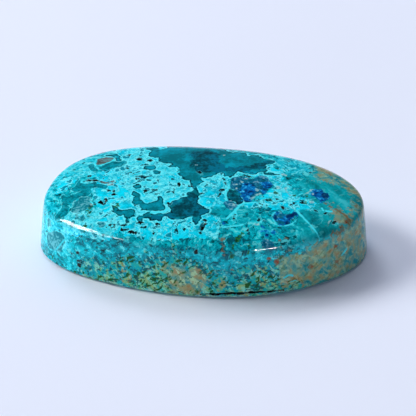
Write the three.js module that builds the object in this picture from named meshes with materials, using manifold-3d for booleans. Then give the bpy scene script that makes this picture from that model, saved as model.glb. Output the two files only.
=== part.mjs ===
// An oval cabochon cut from azurite in chrysocolla and malachite: one solid stone with a flat
// ground back, a steep girdle wall and a low polished dome. Sizes are in millimetres, +Z is up
// and +X runs along the long axis. The origin is the middle of the flat back.
import * as THREE from "three";
import { mergeVertices } from "three/addons/utils/BufferGeometryUtils.js";
import Module from "manifold-3d";

// Driving dimensions.
const LENGTH = 38;
const WIDTH = 21;
const WALL_HEIGHT = 6.2; // from the back up to where the girdle wall turns into the dome
const DOME_RISE = 1.8; // from the top of the wall up to the crown
const BACK_BEVEL = 0.3; // width and height of the bevel round the back's edge

// Shape factors.
const WALL_LEAN = 0.03; // share of the plan by which the wall leans in at its top
const OVAL_POWER = 2.25; // superellipse power of the plan: 2 is an ellipse, more is fuller
const DOME_POWER = 2.45; // superellipse power of the dome's profile

// The plan was ground by hand, so a few slow waves leave it slightly out of true. Each wave has
// a cosine and a sine share of the radius.
const PLAN_WAVES = [
  { count: 3, cosine: 0.009, sine: 0.0025 },
  { count: 4, cosine: 0.006, sine: 0.011 },
  { count: 5, cosine: 0.007, sine: -0.009 },
];

// Facets: stations round the plan, and rings over the dome, closer together towards the wall.
const STATIONS = 128;
const DOME_RINGS = [0.998, 0.99, 0.975, 0.95, 0.9, 0.82, 0.7, 0.55, 0.38, 0.2];
const WALL_RINGS = 3;

// A natural fissure runs along the front wall just above the back. It is a V-shaped slot whose
// height above the back rises and falls between its two ends.
const FISSURE = {
  from: 275, // bearings round the plan, in degrees
  to: 302,
  height: 0.4, // at its ends
  rise: 0.45, // further up at its middle
  mouth: 0.2,
  depth: 0.4,
  steps: 14,
};

// Open pits in the polish, each by its bearing round the plan in degrees, its share of the way
// from the crown to the wall, and its own length, width, turn from +X in degrees, and depth.
const PITS = [
  { bearing: 273.3, share: 0.72, length: 1.5, width: 0.5, turn: 83, depth: 0.35 },
  { bearing: 328.8, share: 0.583, length: 0.8, width: 0.45, turn: -25, depth: 0.2 },
  { bearing: 345.6, share: 0.655, length: 0.9, width: 0.5, turn: -20, depth: 0.2 },
  { bearing: 331.8, share: 0.948, length: 0.9, width: 0.5, turn: 5, depth: 0.2 },
  { bearing: 210.4, share: 0.7, length: 0.9, width: 0.5, turn: 35, depth: 0.2 },
  { bearing: 237.4, share: 0.895, length: 0.8, width: 0.35, turn: -5, depth: 0.18 },
  { bearing: 335.7, share: 0.44, length: 0.7, width: 0.4, turn: 10, depth: 0.18 },
];
const PIT_SIDES = 12;

const TURN = 2 * Math.PI;

const wasm = await Module();
wasm.setup();

// The plan's outline at an angle, before it is fitted to the length and the width.
function roughOutline(angle) {
  const c = Math.cos(angle);
  const s = Math.sin(angle);
  const oval = (Math.abs(c) ** OVAL_POWER + Math.abs(s) ** OVAL_POWER) ** (-1 / OVAL_POWER);
  const waves = PLAN_WAVES.reduce(
    (sum, w) => sum + w.cosine * Math.cos(w.count * angle) + w.sine * Math.sin(w.count * angle),
    1,
  );
  return new THREE.Vector2(c, s).multiplyScalar(oval * waves);
}

const stationPoints = Array.from({ length: STATIONS }, (_, i) => roughOutline((i * TURN) / STATIONS));
const roughBox = new THREE.Box2().setFromPoints(stationPoints);
const roughMiddle = roughBox.getCenter(new THREE.Vector2());
const fitToSize = new THREE.Vector2(LENGTH, WIDTH).divide(roughBox.getSize(new THREE.Vector2()));

// The point of the finished outline at an angle, in millimetres from the middle of the back.
function outline(angle) {
  return roughOutline(angle).sub(roughMiddle).multiply(fitToSize);
}

// How far out the wall stands at a height, as a share of the outline: all of it just above the
// bevel, and less towards the top.
function wallShare(height) {
  return 1 - (WALL_LEAN * (height - BACK_BEVEL)) / (WALL_HEIGHT - BACK_BEVEL);
}

// The dome's height at a share of the way from its middle to the top of the wall.
function domeHeight(share) {
  return WALL_HEIGHT + DOME_RISE * (1 - share ** DOME_POWER) ** (1 / DOME_POWER);
}

// Half of the stone's section, from the middle of the back up to the crown: x is the share of
// the outline and y the height.
function sectionPoints() {
  const wall = Array.from({ length: WALL_RINGS + 1 }, (_, i) => {
    const height = THREE.MathUtils.lerp(BACK_BEVEL, WALL_HEIGHT, i / WALL_RINGS);
    return new THREE.Vector2(wallShare(height), height);
  });
  const dome = DOME_RINGS.map(
    (share) => new THREE.Vector2(share * wallShare(WALL_HEIGHT), domeHeight(share)),
  );
  return [
    new THREE.Vector2(0, 0),
    new THREE.Vector2(1 - (2 * BACK_BEVEL) / WIDTH, 0),
    ...wall,
    ...dome,
    new THREE.Vector2(0, WALL_HEIGHT + DOME_RISE),
  ];
}

// Moves each vertex of a geometry to where place(x, y, z) says.
function reshape(geometry, place) {
  const position = geometry.attributes.position;
  for (let i = 0; i < position.count; i++) {
    const p = place(position.getX(i), position.getY(i), position.getZ(i));
    position.setXYZ(i, p.x, p.y, p.z);
  }
  return geometry;
}

// A closed geometry as a manifold-3d solid.
function toSolid(geometry) {
  const bare = geometry.clone();
  bare.deleteAttribute("normal");
  bare.deleteAttribute("uv");
  const merged = mergeVertices(bare, 1e-4);
  const solid = new wasm.Manifold(
    new wasm.Mesh({
      numProp: 3,
      vertProperties: merged.attributes.position.array,
      triVerts: new Uint32Array(merged.index.array),
    }),
  );
  return solid;
}

// A manifold-3d solid as a flat-faceted geometry.
function toGeometry(solid) {
  const mesh = solid.getMesh();
  const geometry = new THREE.BufferGeometry();
  geometry.setAttribute("position", new THREE.BufferAttribute(mesh.vertProperties, mesh.numProp));
  geometry.setIndex(new THREE.BufferAttribute(mesh.triVerts, 1));
  const faceted = geometry.toNonIndexed();
  faceted.computeVertexNormals();
  return faceted;
}

// The whole stone before its flaws: a lathed round body whose every ring is drawn out to the oval.
function blankStone() {
  const round = new THREE.LatheGeometry(sectionPoints(), STATIONS);
  return reshape(round, (x, y, z) => {
    const plan = outline(Math.atan2(x, z)).multiplyScalar(Math.hypot(x, z));
    return new THREE.Vector3(plan.x, plan.y, y);
  });
}

// The slot of the fissure: a straight wedge, bent round the front wall.
function fissureCutter() {
  const clear = FISSURE.mouth; // how far the wedge stands out of the wall
  const flare = (FISSURE.mouth / 2) * (1 + clear / FISSURE.depth);
  const wedge = new THREE.Shape([
    new THREE.Vector2(-FISSURE.depth, 0),
    new THREE.Vector2(clear, -flare),
    new THREE.Vector2(clear, flare),
  ]);
  const straight = new THREE.ExtrudeGeometry(wedge, {
    depth: 1,
    steps: FISSURE.steps,
    bevelEnabled: false,
  });
  return reshape(straight, (out, up, along) => {
    const bearing = THREE.MathUtils.degToRad(THREE.MathUtils.lerp(FISSURE.to, FISSURE.from, along));
    const height = FISSURE.height + FISSURE.rise * Math.sin(Math.PI * along) + up;
    const wall = outline(bearing).multiplyScalar(wallShare(height));
    const plan = wall.clone().setLength(wall.length() + out);
    return new THREE.Vector3(plan.x, plan.y, height);
  });
}

// A point of the dome by its bearing and its share of the way to the wall.
function domePoint(bearing, share) {
  const plan = outline(bearing).multiplyScalar(share * wallShare(WALL_HEIGHT));
  return new THREE.Vector3(plan.x, plan.y, domeHeight(share));
}

// The outward normal of the dome, from two short steps along its surface.
function domeNormal(bearing, share) {
  const step = 1e-3;
  const here = domePoint(bearing, share);
  const round = domePoint(bearing + step, share).sub(here);
  const out = domePoint(bearing, share + step).sub(here);
  return out.cross(round).normalize();
}

// A pit is the lower half of a flattened ball, set level with the polish.
function pitCutter(pit) {
  const bearing = THREE.MathUtils.degToRad(pit.bearing);
  const ball = new THREE.SphereGeometry(1, PIT_SIDES, PIT_SIDES / 2);
  const tilt = new THREE.Quaternion().setFromUnitVectors(
    new THREE.Vector3(0, 0, 1),
    domeNormal(bearing, pit.share),
  );
  return ball
    .scale(pit.length / 2, pit.width / 2, pit.depth)
    .rotateZ(THREE.MathUtils.degToRad(pit.turn))
    .applyQuaternion(tilt)
    .translate(...domePoint(bearing, pit.share).toArray());
}

function cabochon() {
  const cutters = [fissureCutter(), ...PITS.map(pitCutter)];
  const solid = cutters.reduce(
    (stone, cutter) => stone.subtract(toSolid(cutter)),
    toSolid(blankStone()),
  );
  const polishedStone = new THREE.MeshStandardMaterial({
    color: 0x1aa0b0,
    roughness: 0.2,
    metalness: 0,
  });
  const mesh = new THREE.Mesh(toGeometry(solid), polishedStone);
  mesh.name = "cabochon";
  return mesh;
}

const part = new THREE.Group();
part.add(cabochon());

export default part;
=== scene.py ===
"""Dresses an oval cabochon cut from azurite in chrysocolla and malachite, on a pale table.

Sizes of the stone are in millimetres until its mesh is made, and then in metres. +Z points up out
of the dome, +X runs along the long axis, and the origin is the middle of the flat back.
"""

import logging
import math
from dataclasses import dataclass
from enum import Enum

import bpy
import numpy as np
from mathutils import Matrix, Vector


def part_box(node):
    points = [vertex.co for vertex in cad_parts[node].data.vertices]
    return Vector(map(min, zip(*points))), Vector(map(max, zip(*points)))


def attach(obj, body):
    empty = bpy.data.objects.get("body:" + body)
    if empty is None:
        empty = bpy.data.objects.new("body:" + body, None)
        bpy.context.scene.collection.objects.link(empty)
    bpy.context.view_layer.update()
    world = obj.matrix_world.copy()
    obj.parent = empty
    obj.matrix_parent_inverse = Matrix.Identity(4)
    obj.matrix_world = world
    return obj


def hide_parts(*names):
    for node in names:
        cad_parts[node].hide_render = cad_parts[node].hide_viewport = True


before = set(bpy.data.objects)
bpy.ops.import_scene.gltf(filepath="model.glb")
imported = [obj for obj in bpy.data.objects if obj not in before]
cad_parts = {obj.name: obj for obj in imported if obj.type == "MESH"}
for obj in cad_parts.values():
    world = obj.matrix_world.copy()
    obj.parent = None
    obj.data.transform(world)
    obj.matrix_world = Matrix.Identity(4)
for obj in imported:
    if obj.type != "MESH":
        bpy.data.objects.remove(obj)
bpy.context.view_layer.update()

MM = 0.001
NODE = "cabochon"
log = logging.getLogger("cabochon")


@dataclass(frozen=True)
class Wave:
    """One slow wave of the plan's radius, as shares of the radius."""

    count: int
    cosine: float
    sine: float


@dataclass
class Plan:
    """The stone's outline seen from above: a full oval, slightly out of true."""

    length: float
    width: float
    power: float = 2.25
    waves: tuple[Wave, ...] = (Wave(3, 0.009, 0.0025), Wave(4, 0.006, 0.011), Wave(5, 0.007, -0.009))
    table_size: int = 4096

    def __post_init__(self) -> None:
        """Fits the rough outline to its length and width, and tabulates its radius by direction."""
        bearings = np.linspace(0.0, math.tau, self.table_size, endpoint=False)
        rough = self.rough(bearings)
        self.low = rough.min(0)
        self.high = rough.max(0)
        edge = self.points(bearings)
        self.directions = np.unwrap(np.arctan2(edge[:, 1], edge[:, 0]))
        self.bearings = bearings
        steps = np.diff(edge, axis=0, append=edge[:1])
        self.arc = np.concatenate(([0.0], np.cumsum(np.hypot(steps[:, 0], steps[:, 1]))))

    def rough(self, bearing: np.ndarray) -> np.ndarray:
        """The outline before it is fitted to size.

        Args:
            bearing: angles round the plan, in radians.

        Returns:
            One row of x and y for each angle.
        """
        across = np.cos(bearing)
        along = np.sin(bearing)
        oval = (np.abs(across) ** self.power + np.abs(along) ** self.power) ** (-1 / self.power)
        radius = 1 + sum(
            wave.cosine * np.cos(wave.count * bearing) + wave.sine * np.sin(wave.count * bearing)
            for wave in self.waves
        )
        return np.stack([across * oval * radius, along * oval * radius], axis=-1)

    def points(self, bearing: np.ndarray) -> np.ndarray:
        """The outline's points in millimetres.

        Args:
            bearing: angles round the plan, in radians.

        Returns:
            One row of x and y for each angle.
        """
        centred = self.rough(bearing) - (self.low + self.high) / 2
        return centred / (self.high - self.low) * np.array([self.length, self.width])

    def bearing_of(self, places: np.ndarray) -> np.ndarray:
        """The outline's bearing in the direction of each place, in radians.

        Args:
            places: rows that start with x and y.

        Returns:
            One bearing for each row.
        """
        direction = np.arctan2(places[:, 1], places[:, 0])
        return np.interp(direction, self.directions, self.bearings, period=math.tau)

    def share_of(self, places: np.ndarray) -> np.ndarray:
        """How far out each place lies, as a share of the outline in its direction.

        Args:
            places: rows that start with x and y.

        Returns:
            One share for each row.
        """
        edge = self.points(self.bearing_of(places))
        return np.hypot(places[:, 0], places[:, 1]) / np.hypot(edge[:, 0], edge[:, 1])


@dataclass
class Section:
    """The stone's height above its back, from the rounded edge up over the wall to the crown."""

    height: float
    dome_rise: float = 1.8
    bevel: float = 0.35
    undercut: float = 0.8
    lean: float = 0.03
    dome_power: float = 2.45

    @property
    def wall_height(self) -> float:
        """Height of the line where the wall turns into the dome."""
        return self.height - self.dome_rise

    @property
    def top_share(self) -> float:
        """How far out the wall stands where it turns into the dome, as a share of the outline."""
        return self.wall_share(self.wall_height)

    def wall_share(self, height: np.ndarray | float) -> np.ndarray | float:
        """How far out the wall stands at a height, as a share of the outline."""
        return 1 - self.lean * (height - self.bevel) / (self.wall_height - self.bevel)

    def dome_height(self, share: np.ndarray | float) -> np.ndarray | float:
        """The dome's height at a share of the way from its middle to the wall."""
        inside = np.clip(1 - share**self.dome_power, 0, None)
        return self.wall_height + self.dome_rise * inside ** (1 / self.dome_power)


class Chart(Enum):
    """How a marking's points are measured, in millimetres."""

    DOME = "x and y seen from above"
    WALL = "distance round the girdle from the middle of the front, and height above the back"


@dataclass
class Skin:
    """The stone's surface pressed flat: the dome as seen from above, with the wall as its skirt."""

    plan: Plan
    section: Section
    front: float = math.radians(270)
    step: float = 1e-4

    def outward(self, bearing: np.ndarray) -> np.ndarray:
        """The plan's outward normals.

        Args:
            bearing: angles round the plan, in radians.

        Returns:
            One row of x and y for each angle.
        """
        along = self.plan.points(bearing + self.step) - self.plan.points(bearing - self.step)
        normal = np.stack([along[:, 1], -along[:, 0]], axis=-1)
        return normal / np.linalg.norm(normal, axis=1, keepdims=True)

    def skirt(self, bearing: np.ndarray, height: np.ndarray) -> np.ndarray:
        """Flat places of points of the wall.

        Args:
            bearing: angles round the plan, in radians.
            height: heights above the back, in millimetres.

        Returns:
            One row of two flat coordinates for each point.
        """
        shoulder = self.plan.points(bearing) * self.section.top_share
        down = self.section.wall_height - height
        return shoulder + self.outward(bearing) * down[:, None]

    def place(self, points: np.ndarray, chart: Chart) -> np.ndarray:
        """Flat places of a marking's points.

        Args:
            points: the points, as the chart measures them.
            chart: where they are measured.

        Returns:
            One row of two flat coordinates for each point.
        """
        if chart is Chart.DOME:
            return points
        start = np.interp(self.front, self.plan.bearings, self.plan.arc[:-1])
        round_girdle = (points[:, 0] + start) % self.plan.arc[-1]
        turns = np.append(self.plan.bearings, math.tau)
        return self.skirt(np.interp(round_girdle, self.plan.arc, turns), points[:, 1])

    def flatten(self, vertices: np.ndarray) -> np.ndarray:
        """Flat places of the stone's own vertices, the back's being mirrored plan positions.

        Args:
            vertices: rows of x, y and z in millimetres.

        Returns:
            One row of two flat coordinates for each vertex.
        """
        flat = vertices[:, :2].copy()
        on_wall = (vertices[:, 2] > self.section.bevel / 2) & (vertices[:, 2] < self.section.wall_height)
        bearing = self.plan.bearing_of(vertices[on_wall])
        flat[on_wall] = self.skirt(bearing, vertices[on_wall, 2])
        on_back = vertices[:, 2] <= self.section.bevel / 2
        flat[on_back, 0] *= -1
        return flat


@dataclass(frozen=True)
class Fissure:
    """A natural crack along the front wall just above the back.

    It rises between its two ends and wanders a little, and it thins out at both.
    """

    start: float = math.radians(272)
    end: float = math.radians(303)
    height: float = 0.5
    rise: float = 0.28
    mouth: float = 0.26
    depth: float = 0.5
    start_taper: float = 0.1
    end_taper: float = 0.35
    bowl_power: float = 0.7
    # Painted shade: how far past the crack's mouth its black reaches, and how steeply it rises.
    painted_shade_edge: float = 0.04
    painted_shade_gain: float = 3.0

    def line(self, bearing: np.ndarray) -> tuple[np.ndarray, np.ndarray]:
        """Where the crack runs.

        Args:
            bearing: angles round the plan, in radians.

        Returns:
            The crack's height above the back, and how open it is from 0 to 1, at each angle.
        """
        along = (bearing - self.start) / (self.end - self.start)
        arch = np.sin(math.pi * np.clip(along, 0, 1))
        wander = 0.035 * np.sin(23 * along) + 0.02 * np.sin(57 * along + 1)
        ends = np.clip(np.minimum(along / self.start_taper, (1 - along) / self.end_taper), 0, 1)
        return self.height + self.rise * arch + wander, ends * (0.75 + 0.25 * np.sin(31 * along + 2))

    def reach(self, bearing: np.ndarray, height: np.ndarray) -> np.ndarray:
        """How far inside the crack's mouth places of the wall are, where the crack gets its black painted
        shade.

        Args:
            bearing: angles round the plan, in radians.
            height: heights above the back, in millimetres.

        Returns:
            One value for each place, negative outside, steep enough for the line to stay whole.
        """
        middle, opening = self.line(bearing)
        inside = self.mouth / 2 * opening + self.painted_shade_edge - np.abs(height - middle)
        return np.where(opening > 0, inside * self.painted_shade_gain, -self.depth)


@dataclass(frozen=True)
class Pit:
    """A small open pit in the dome's polish, in millimetres, with its turn from +X in degrees."""

    x: float
    y: float
    length: float
    width: float
    turn: float
    depth: float


@dataclass(frozen=True)
class Rubbing:
    """How the shoulder is rubbed round, most of all near one bearing of the plan."""

    below_wall_top: float = 2.2
    least_share: float = 0.72
    passes: int = 160
    everywhere: float = 0.6
    bearing: float = math.radians(222)
    spread: float = math.radians(30)

    def strength(self, bearing: np.ndarray) -> np.ndarray:
        """How much of the rubbing each bearing gets, from 0 to 1."""
        away = (bearing - self.bearing) / self.spread
        return self.everywhere + (1 - self.everywhere) * np.exp(-(away**2))


@dataclass
class Stone:
    """The cabochon itself: its mesh, its flaws and its finish."""

    plan: Plan
    section: Section
    fissure: Fissure
    pits: tuple[Pit, ...]
    rubbing: Rubbing = Rubbing()
    stations: int = 560
    grid_columns: int = 170
    inner_share: float = 0.78
    shoulder_rings: int = 34
    wall_rings: int = 34
    edge_rings: int = 4
    crack_cuts: int = 3
    crack_margin: float = 0.34
    crack_end_margin: float = math.radians(0.5)
    pit_cuts: int = 2
    pit_margin: float = 0.3
    pit_bowl_power: float = 0.6
    rim_share: float = 0.995
    sharp_angle: float = math.radians(30)
    hair: float = 1e-4
    name: str = "polished_cabochon"

    def build(self) -> bpy.types.Object:
        """Models the stone.

        Returns:
            The stone's object, with its origin in the middle of its back.
        """
        stone = self.draw_rings()
        self.true_up(stone)
        self.refine(stone)
        self.open_flaws(stone)
        bpy.ops.object.shade_smooth_by_angle(angle=self.sharp_angle)
        log.info("%s has %d faces", stone.name, len(stone.data.polygons))
        return stone

    def dress(self, stone: bpy.types.Object, finish: "StoneFinish") -> None:
        """Marks the stone, rubs its shoulder round, and gives it its finish and its body.

        Args:
            stone: the stone's object.
            finish: the polished rock.
        """
        mark(stone, Skin(self.plan, self.section), self.fissure)
        self.rub_shoulder(stone)
        stone.data.materials.append(finish.make())
        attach(stone, "root")
        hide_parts(NODE)
        log.info("%s is dressed in %s", stone.name, finish.name)

    def ring_profile(self) -> list[tuple[float, float]]:
        """Works out every ring, from the back up over the edge, the wall and the shoulder.

        Returns:
            Each ring's share of the outline and its height in millimetres.
        """
        section = self.section
        turns = np.linspace(0, math.pi / 2, self.edge_rings, endpoint=False)
        inset = 2 * section.undercut / self.plan.width
        edge = [(1 - inset * (1 - math.sin(turn)), section.bevel * (1 - math.cos(turn))) for turn in turns]
        heights = np.linspace(section.bevel, section.wall_height, self.wall_rings)
        wall = [(float(section.wall_share(height)), float(height)) for height in heights]
        steps = np.linspace(0, 1, self.shoulder_rings + 1)[1:]
        widest_turn = math.acos(self.inner_share ** (section.dome_power / 2))
        shares = np.cos(widest_turn * steps) ** (2 / section.dome_power)
        dome = [(float(section.top_share * share), float(section.dome_height(share))) for share in shares]
        return edge + wall + dome

    def draw_rings(self) -> bpy.types.Object:
        """Draws the rings as an oval tube, and closes its back and crown with grids of faces.

        Returns:
            The oval stone's object.
        """
        profile = self.ring_profile()
        bpy.ops.object.select_all(action="DESELECT")
        bpy.ops.mesh.primitive_circle_add(
            vertices=self.stations, radius=profile[0][0] * self.plan.length / 2 * MM, fill_type="NOTHING"
        )
        stone = bpy.context.object
        stone.name = self.name
        stone.data.name = self.name
        bpy.ops.object.mode_set(mode="EDIT")
        bpy.ops.mesh.select_all(action="SELECT")
        bpy.ops.transform.resize(value=(1, self.plan.width / self.plan.length, 1))
        for (share, height), (next_share, next_height) in zip(profile, profile[1:]):
            lift = (0, 0, (next_height - height) * MM)
            bpy.ops.mesh.extrude_edges_move(TRANSFORM_OT_translate={"value": lift})
            grow = next_share / share
            bpy.ops.transform.resize(value=(grow, grow, 1), center_override=(0, 0, next_height * MM))
        bpy.ops.mesh.fill_grid(span=self.grid_columns, use_interp_simple=True)
        bpy.ops.object.mode_set(mode="OBJECT")
        choose_vertices(stone, vertex_array(stone)[:, 2] < self.section.bevel / 100)
        bpy.ops.object.mode_set(mode="EDIT")
        bpy.ops.mesh.fill_grid(span=self.grid_columns, use_interp_simple=True)
        bpy.ops.mesh.select_all(action="SELECT")
        bpy.ops.mesh.normals_make_consistent(inside=False)
        bpy.ops.object.mode_set(mode="OBJECT")
        return stone

    def true_up(self, stone: bpy.types.Object) -> None:
        """Moves the oval tube's vertices onto the real outline and the dome.

        Args:
            stone: the oval stone's object.
        """
        places = vertex_array(stone)
        oval = places[:, :2] / np.array([self.plan.length / 2, self.plan.width / 2])
        share = np.hypot(oval[:, 0], oval[:, 1])
        places[:, :2] = self.plan.points(np.arctan2(oval[:, 1], oval[:, 0])) * share[:, None]
        crown = places[:, 2] >= self.section.dome_height(self.inner_share) - self.hair
        places[crown, 2] = self.section.dome_height(share[crown] / self.section.top_share)
        write_vertices(stone, places)

    def refine(self, stone: bpy.types.Object) -> None:
        """Subdivides the faces round the crack and the pits, and lays the new vertices on the surface.

        Args:
            stone: the stone's object, before its flaws are opened.
        """
        places = vertex_array(stone)
        bearing = self.plan.bearing_of(places)
        line_height, _ = self.fissure.line(bearing)
        by_crack = bearing > self.fissure.start - self.crack_end_margin
        by_crack &= bearing < self.fissure.end + self.crack_end_margin
        by_crack &= np.abs(places[:, 2] - line_height) < self.crack_margin
        by_crack &= places[:, 2] >= self.section.bevel - self.hair
        by_pit = np.zeros(len(places), bool)
        for pit in self.pits:
            away = np.hypot(places[:, 0] - pit.x, places[:, 1] - pit.y)
            by_pit |= (away < pit.length / 2 + self.pit_margin) & (places[:, 2] > self.section.wall_height)
        for near, cuts in ((by_crack, self.crack_cuts), (by_pit, self.pit_cuts)):
            near = np.append(near, np.zeros(len(stone.data.vertices) - len(near), bool))
            choose_vertices(stone, near)
            bpy.ops.object.mode_set(mode="EDIT")
            bpy.ops.mesh.select_mode(type="FACE")
            bpy.ops.mesh.subdivide(number_cuts=cuts)
            bpy.ops.mesh.select_mode(type="VERT")
            bpy.ops.object.mode_set(mode="OBJECT")
        self.split_borders()
        self.lay_on_surface(stone)

    def split_borders(self) -> None:
        """Splits the many-sided faces round the subdivided patches into triangles."""
        bpy.ops.object.mode_set(mode="EDIT")
        bpy.ops.mesh.select_mode(type="FACE")
        bpy.ops.mesh.select_all(action="DESELECT")
        bpy.ops.mesh.select_face_by_sides(number=4, type="GREATER")
        bpy.ops.mesh.quads_convert_to_tris(quad_method="BEAUTY", ngon_method="BEAUTY")
        bpy.ops.mesh.select_mode(type="VERT")
        bpy.ops.object.mode_set(mode="OBJECT")

    def lay_on_surface(self, stone: bpy.types.Object) -> None:
        """Lays every vertex of the wall and the dome on the exact surface.

        Args:
            stone: the stone's object.
        """
        places = vertex_array(stone)
        share = self.plan.share_of(places)
        wall = (places[:, 2] > self.section.bevel) & (places[:, 2] <= self.section.wall_height)
        places[wall, :2] *= (self.section.wall_share(places[wall, 2]) / share[wall])[:, None]
        top_share = self.section.top_share
        dome = (places[:, 2] > self.section.wall_height) & (share < top_share * self.rim_share)
        places[dome, 2] = self.section.dome_height(share[dome] / top_share)
        write_vertices(stone, places)

    def open_flaws(self, stone: bpy.types.Object) -> None:
        """Sinks the crack and the pits into the surface.

        Args:
            stone: the stone's object, finer round its flaws.
        """
        places = vertex_array(stone)
        line_height, opening = self.fissure.line(self.plan.bearing_of(places))
        across = np.abs(places[:, 2] - line_height) / (self.fissure.mouth / 2)
        sunk = self.fissure.depth * opening * np.clip(1 - across, 0, 1) ** self.fissure.bowl_power
        sunk[places[:, 2] > self.section.wall_height / 2] = 0
        radius = np.hypot(places[:, 0], places[:, 1])
        places[:, :2] *= (1 - sunk / np.maximum(radius, 1))[:, None]
        for pit in self.pits:
            reach = ellipse_reach(places, pit.x, pit.y, pit.length, pit.width, pit.turn)
            bowl = np.clip(reach / (pit.width / 2), 0, 1) ** self.pit_bowl_power
            on_dome = places[:, 2] > self.section.wall_height
            places[on_dome, 2] -= pit.depth * bowl[on_dome]
        write_vertices(stone, places)

    def rub_shoulder(self, stone: bpy.types.Object) -> None:
        """Rubs the shoulder round. It is marked first, so that its markings stay in place.

        Args:
            stone: the marked stone's object.
        """
        sharp = vertex_array(stone)
        high = sharp[:, 2] > self.section.wall_height - self.rubbing.below_wall_top
        choose_vertices(stone, high & (self.plan.share_of(sharp) > self.rubbing.least_share))
        bpy.ops.object.mode_set(mode="EDIT")
        bpy.ops.mesh.vertices_smooth(factor=0.5, repeat=self.rubbing.passes)
        bpy.ops.object.mode_set(mode="OBJECT")
        strength = self.rubbing.strength(self.plan.bearing_of(sharp))
        write_vertices(stone, sharp + (vertex_array(stone) - sharp) * strength[:, None])


def vertex_array(piece: bpy.types.Object) -> np.ndarray:
    """Reads a piece's vertices.

    Args:
        piece: the piece's object.

    Returns:
        One row of x, y and z in millimetres for each vertex.
    """
    places = np.empty(len(piece.data.vertices) * 3)
    piece.data.vertices.foreach_get("co", places)
    return places.reshape(-1, 3) / MM


def write_vertices(piece: bpy.types.Object, places: np.ndarray) -> None:
    """Moves the piece's vertices to rows of x, y and z in millimetres."""
    piece.data.vertices.foreach_set("co", (places * MM).ravel())
    piece.data.update()


def choose_vertices(piece: bpy.types.Object, chosen: np.ndarray) -> None:
    """Selects some vertices and the edges and faces that they make up, and nothing else.

    Args:
        piece: the piece's object.
        chosen: whether each vertex is selected.
    """
    piece.data.vertices.foreach_set("select", chosen)
    edges = np.empty(len(piece.data.edges) * 2, int)
    piece.data.edges.foreach_get("vertices", edges)
    piece.data.edges.foreach_set("select", chosen[edges.reshape(-1, 2)].all(axis=1))
    piece.data.polygons.foreach_set(
        "select", [all(chosen[v] for v in face.vertices) for face in piece.data.polygons]
    )


def ellipse_reach(
    at: np.ndarray, x: float, y: float, length: float, width: float, turn: float
) -> np.ndarray:
    """How far inside an ellipse each place is, in about millimetres.

    Args:
        at: rows that start with x and y.
        x: the ellipse's middle.
        y: the ellipse's middle.
        length: its longer axis.
        width: its shorter axis.
        turn: the longer axis's turn from +X, in degrees.

    Returns:
        One value for each place, negative outside.
    """
    angle = math.radians(turn)
    along = (at[:, 0] - x) * math.cos(angle) + (at[:, 1] - y) * math.sin(angle)
    aside = (at[:, 1] - y) * math.cos(angle) - (at[:, 0] - x) * math.sin(angle)
    ratio = np.hypot(along / (length / 2), aside / (width / 2))
    distance = np.hypot(along, aside)
    edge = np.where(ratio > 1e-6, distance / np.maximum(ratio, 1e-6), width / 2)
    return edge - distance


PITS = (
    Pit(0.45, -7.3, 1.5, 0.5, 83, 0.35),
    Pit(9.4, -3.2, 0.8, 0.45, -25, 0.2),
    Pit(11.7, -1.7, 0.9, 0.5, -20, 0.2),
    Pit(15.1, -4.45, 0.9, 0.5, 5, 0.2),
    Pit(-11.2, -3.6, 0.9, 0.5, 35, 0.2),
    Pit(-8.4, -7.9, 0.8, 0.35, -5, 0.18),
    Pit(7.6, -1.9, 0.7, 0.4, 10, 0.18),
)


class Mineral(Enum):
    """The rock's constituents that are drawn one by one, each with its mesh attribute's name."""

    CRUST = "crust"
    PALE = "pale"
    MATRIX = "matrix"
    SAND = "sand"
    POOL = "pool"
    DEEP = "deep"
    AZURITE = "azurite"
    INDIGO = "indigo"
    SLATE = "slate"
    FROST = "frost"
    QUARTZ = "quartz"
    GLASS = "glass"
    BLADE = "blade"
    MALACHITE = "malachite"
    RUST = "rust"
    LACE = "lace"
    HOLE = "hole"


@dataclass(frozen=True)
class Patch:
    """A field of one mineral, by the corners of its smooth outline."""

    mineral: Mineral
    corners: tuple[tuple[float, float], ...]
    chart: Chart = Chart.DOME

    def reach(self, flat: np.ndarray, skin: Skin) -> np.ndarray:
        """How far inside the patch each flat place is, in millimetres, negative outside."""
        loop = smooth_line(skin.place(np.array(self.corners, float), self.chart), closed=True)
        return loop_reach(flat, loop)


@dataclass(frozen=True)
class Vein:
    """A line of one mineral along some points, with its widths at the two ends."""

    mineral: Mineral
    points: tuple[tuple[float, float], ...]
    width: float
    end_width: float | None = None
    chart: Chart = Chart.DOME

    def reach(self, flat: np.ndarray, skin: Skin) -> np.ndarray:
        """How far inside the vein each flat place is.

        Args:
            flat: rows of two flat coordinates.
            skin: the stone's surface pressed flat.

        Returns:
            One value in millimetres for each place, negative outside.
        """
        line = smooth_line(skin.place(np.array(self.points, float), self.chart), closed=False)
        last = self.width if self.end_width is None else self.end_width
        halves = np.linspace(self.width, last, len(line)) / 2
        reach = np.full(len(flat), -np.inf)
        for start, end, half in zip(line, line[1:], halves):
            reach = np.maximum(reach, half - segment_distance(flat, start, end))
        return reach


@dataclass(frozen=True)
class Spot:
    """A small oval of one mineral, in millimetres, with its turn in degrees."""

    mineral: Mineral
    x: float
    y: float
    length: float
    width: float
    turn: float = 0.0
    chart: Chart = Chart.DOME

    def reach(self, flat: np.ndarray, skin: Skin) -> np.ndarray:
        """How far inside the spot each flat place is, in millimetres, negative outside."""
        x, y = skin.place(np.array([[self.x, self.y]], float), self.chart)[0]
        return ellipse_reach(flat, x, y, self.length, self.width, self.turn)


def spots(mineral: Mineral, rows: tuple, chart: Chart = Chart.DOME) -> tuple[Spot, ...]:
    """Spots of one mineral, from rows of x, y, length, width and turn."""
    return tuple(Spot(mineral, *row, chart) for row in rows)


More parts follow.
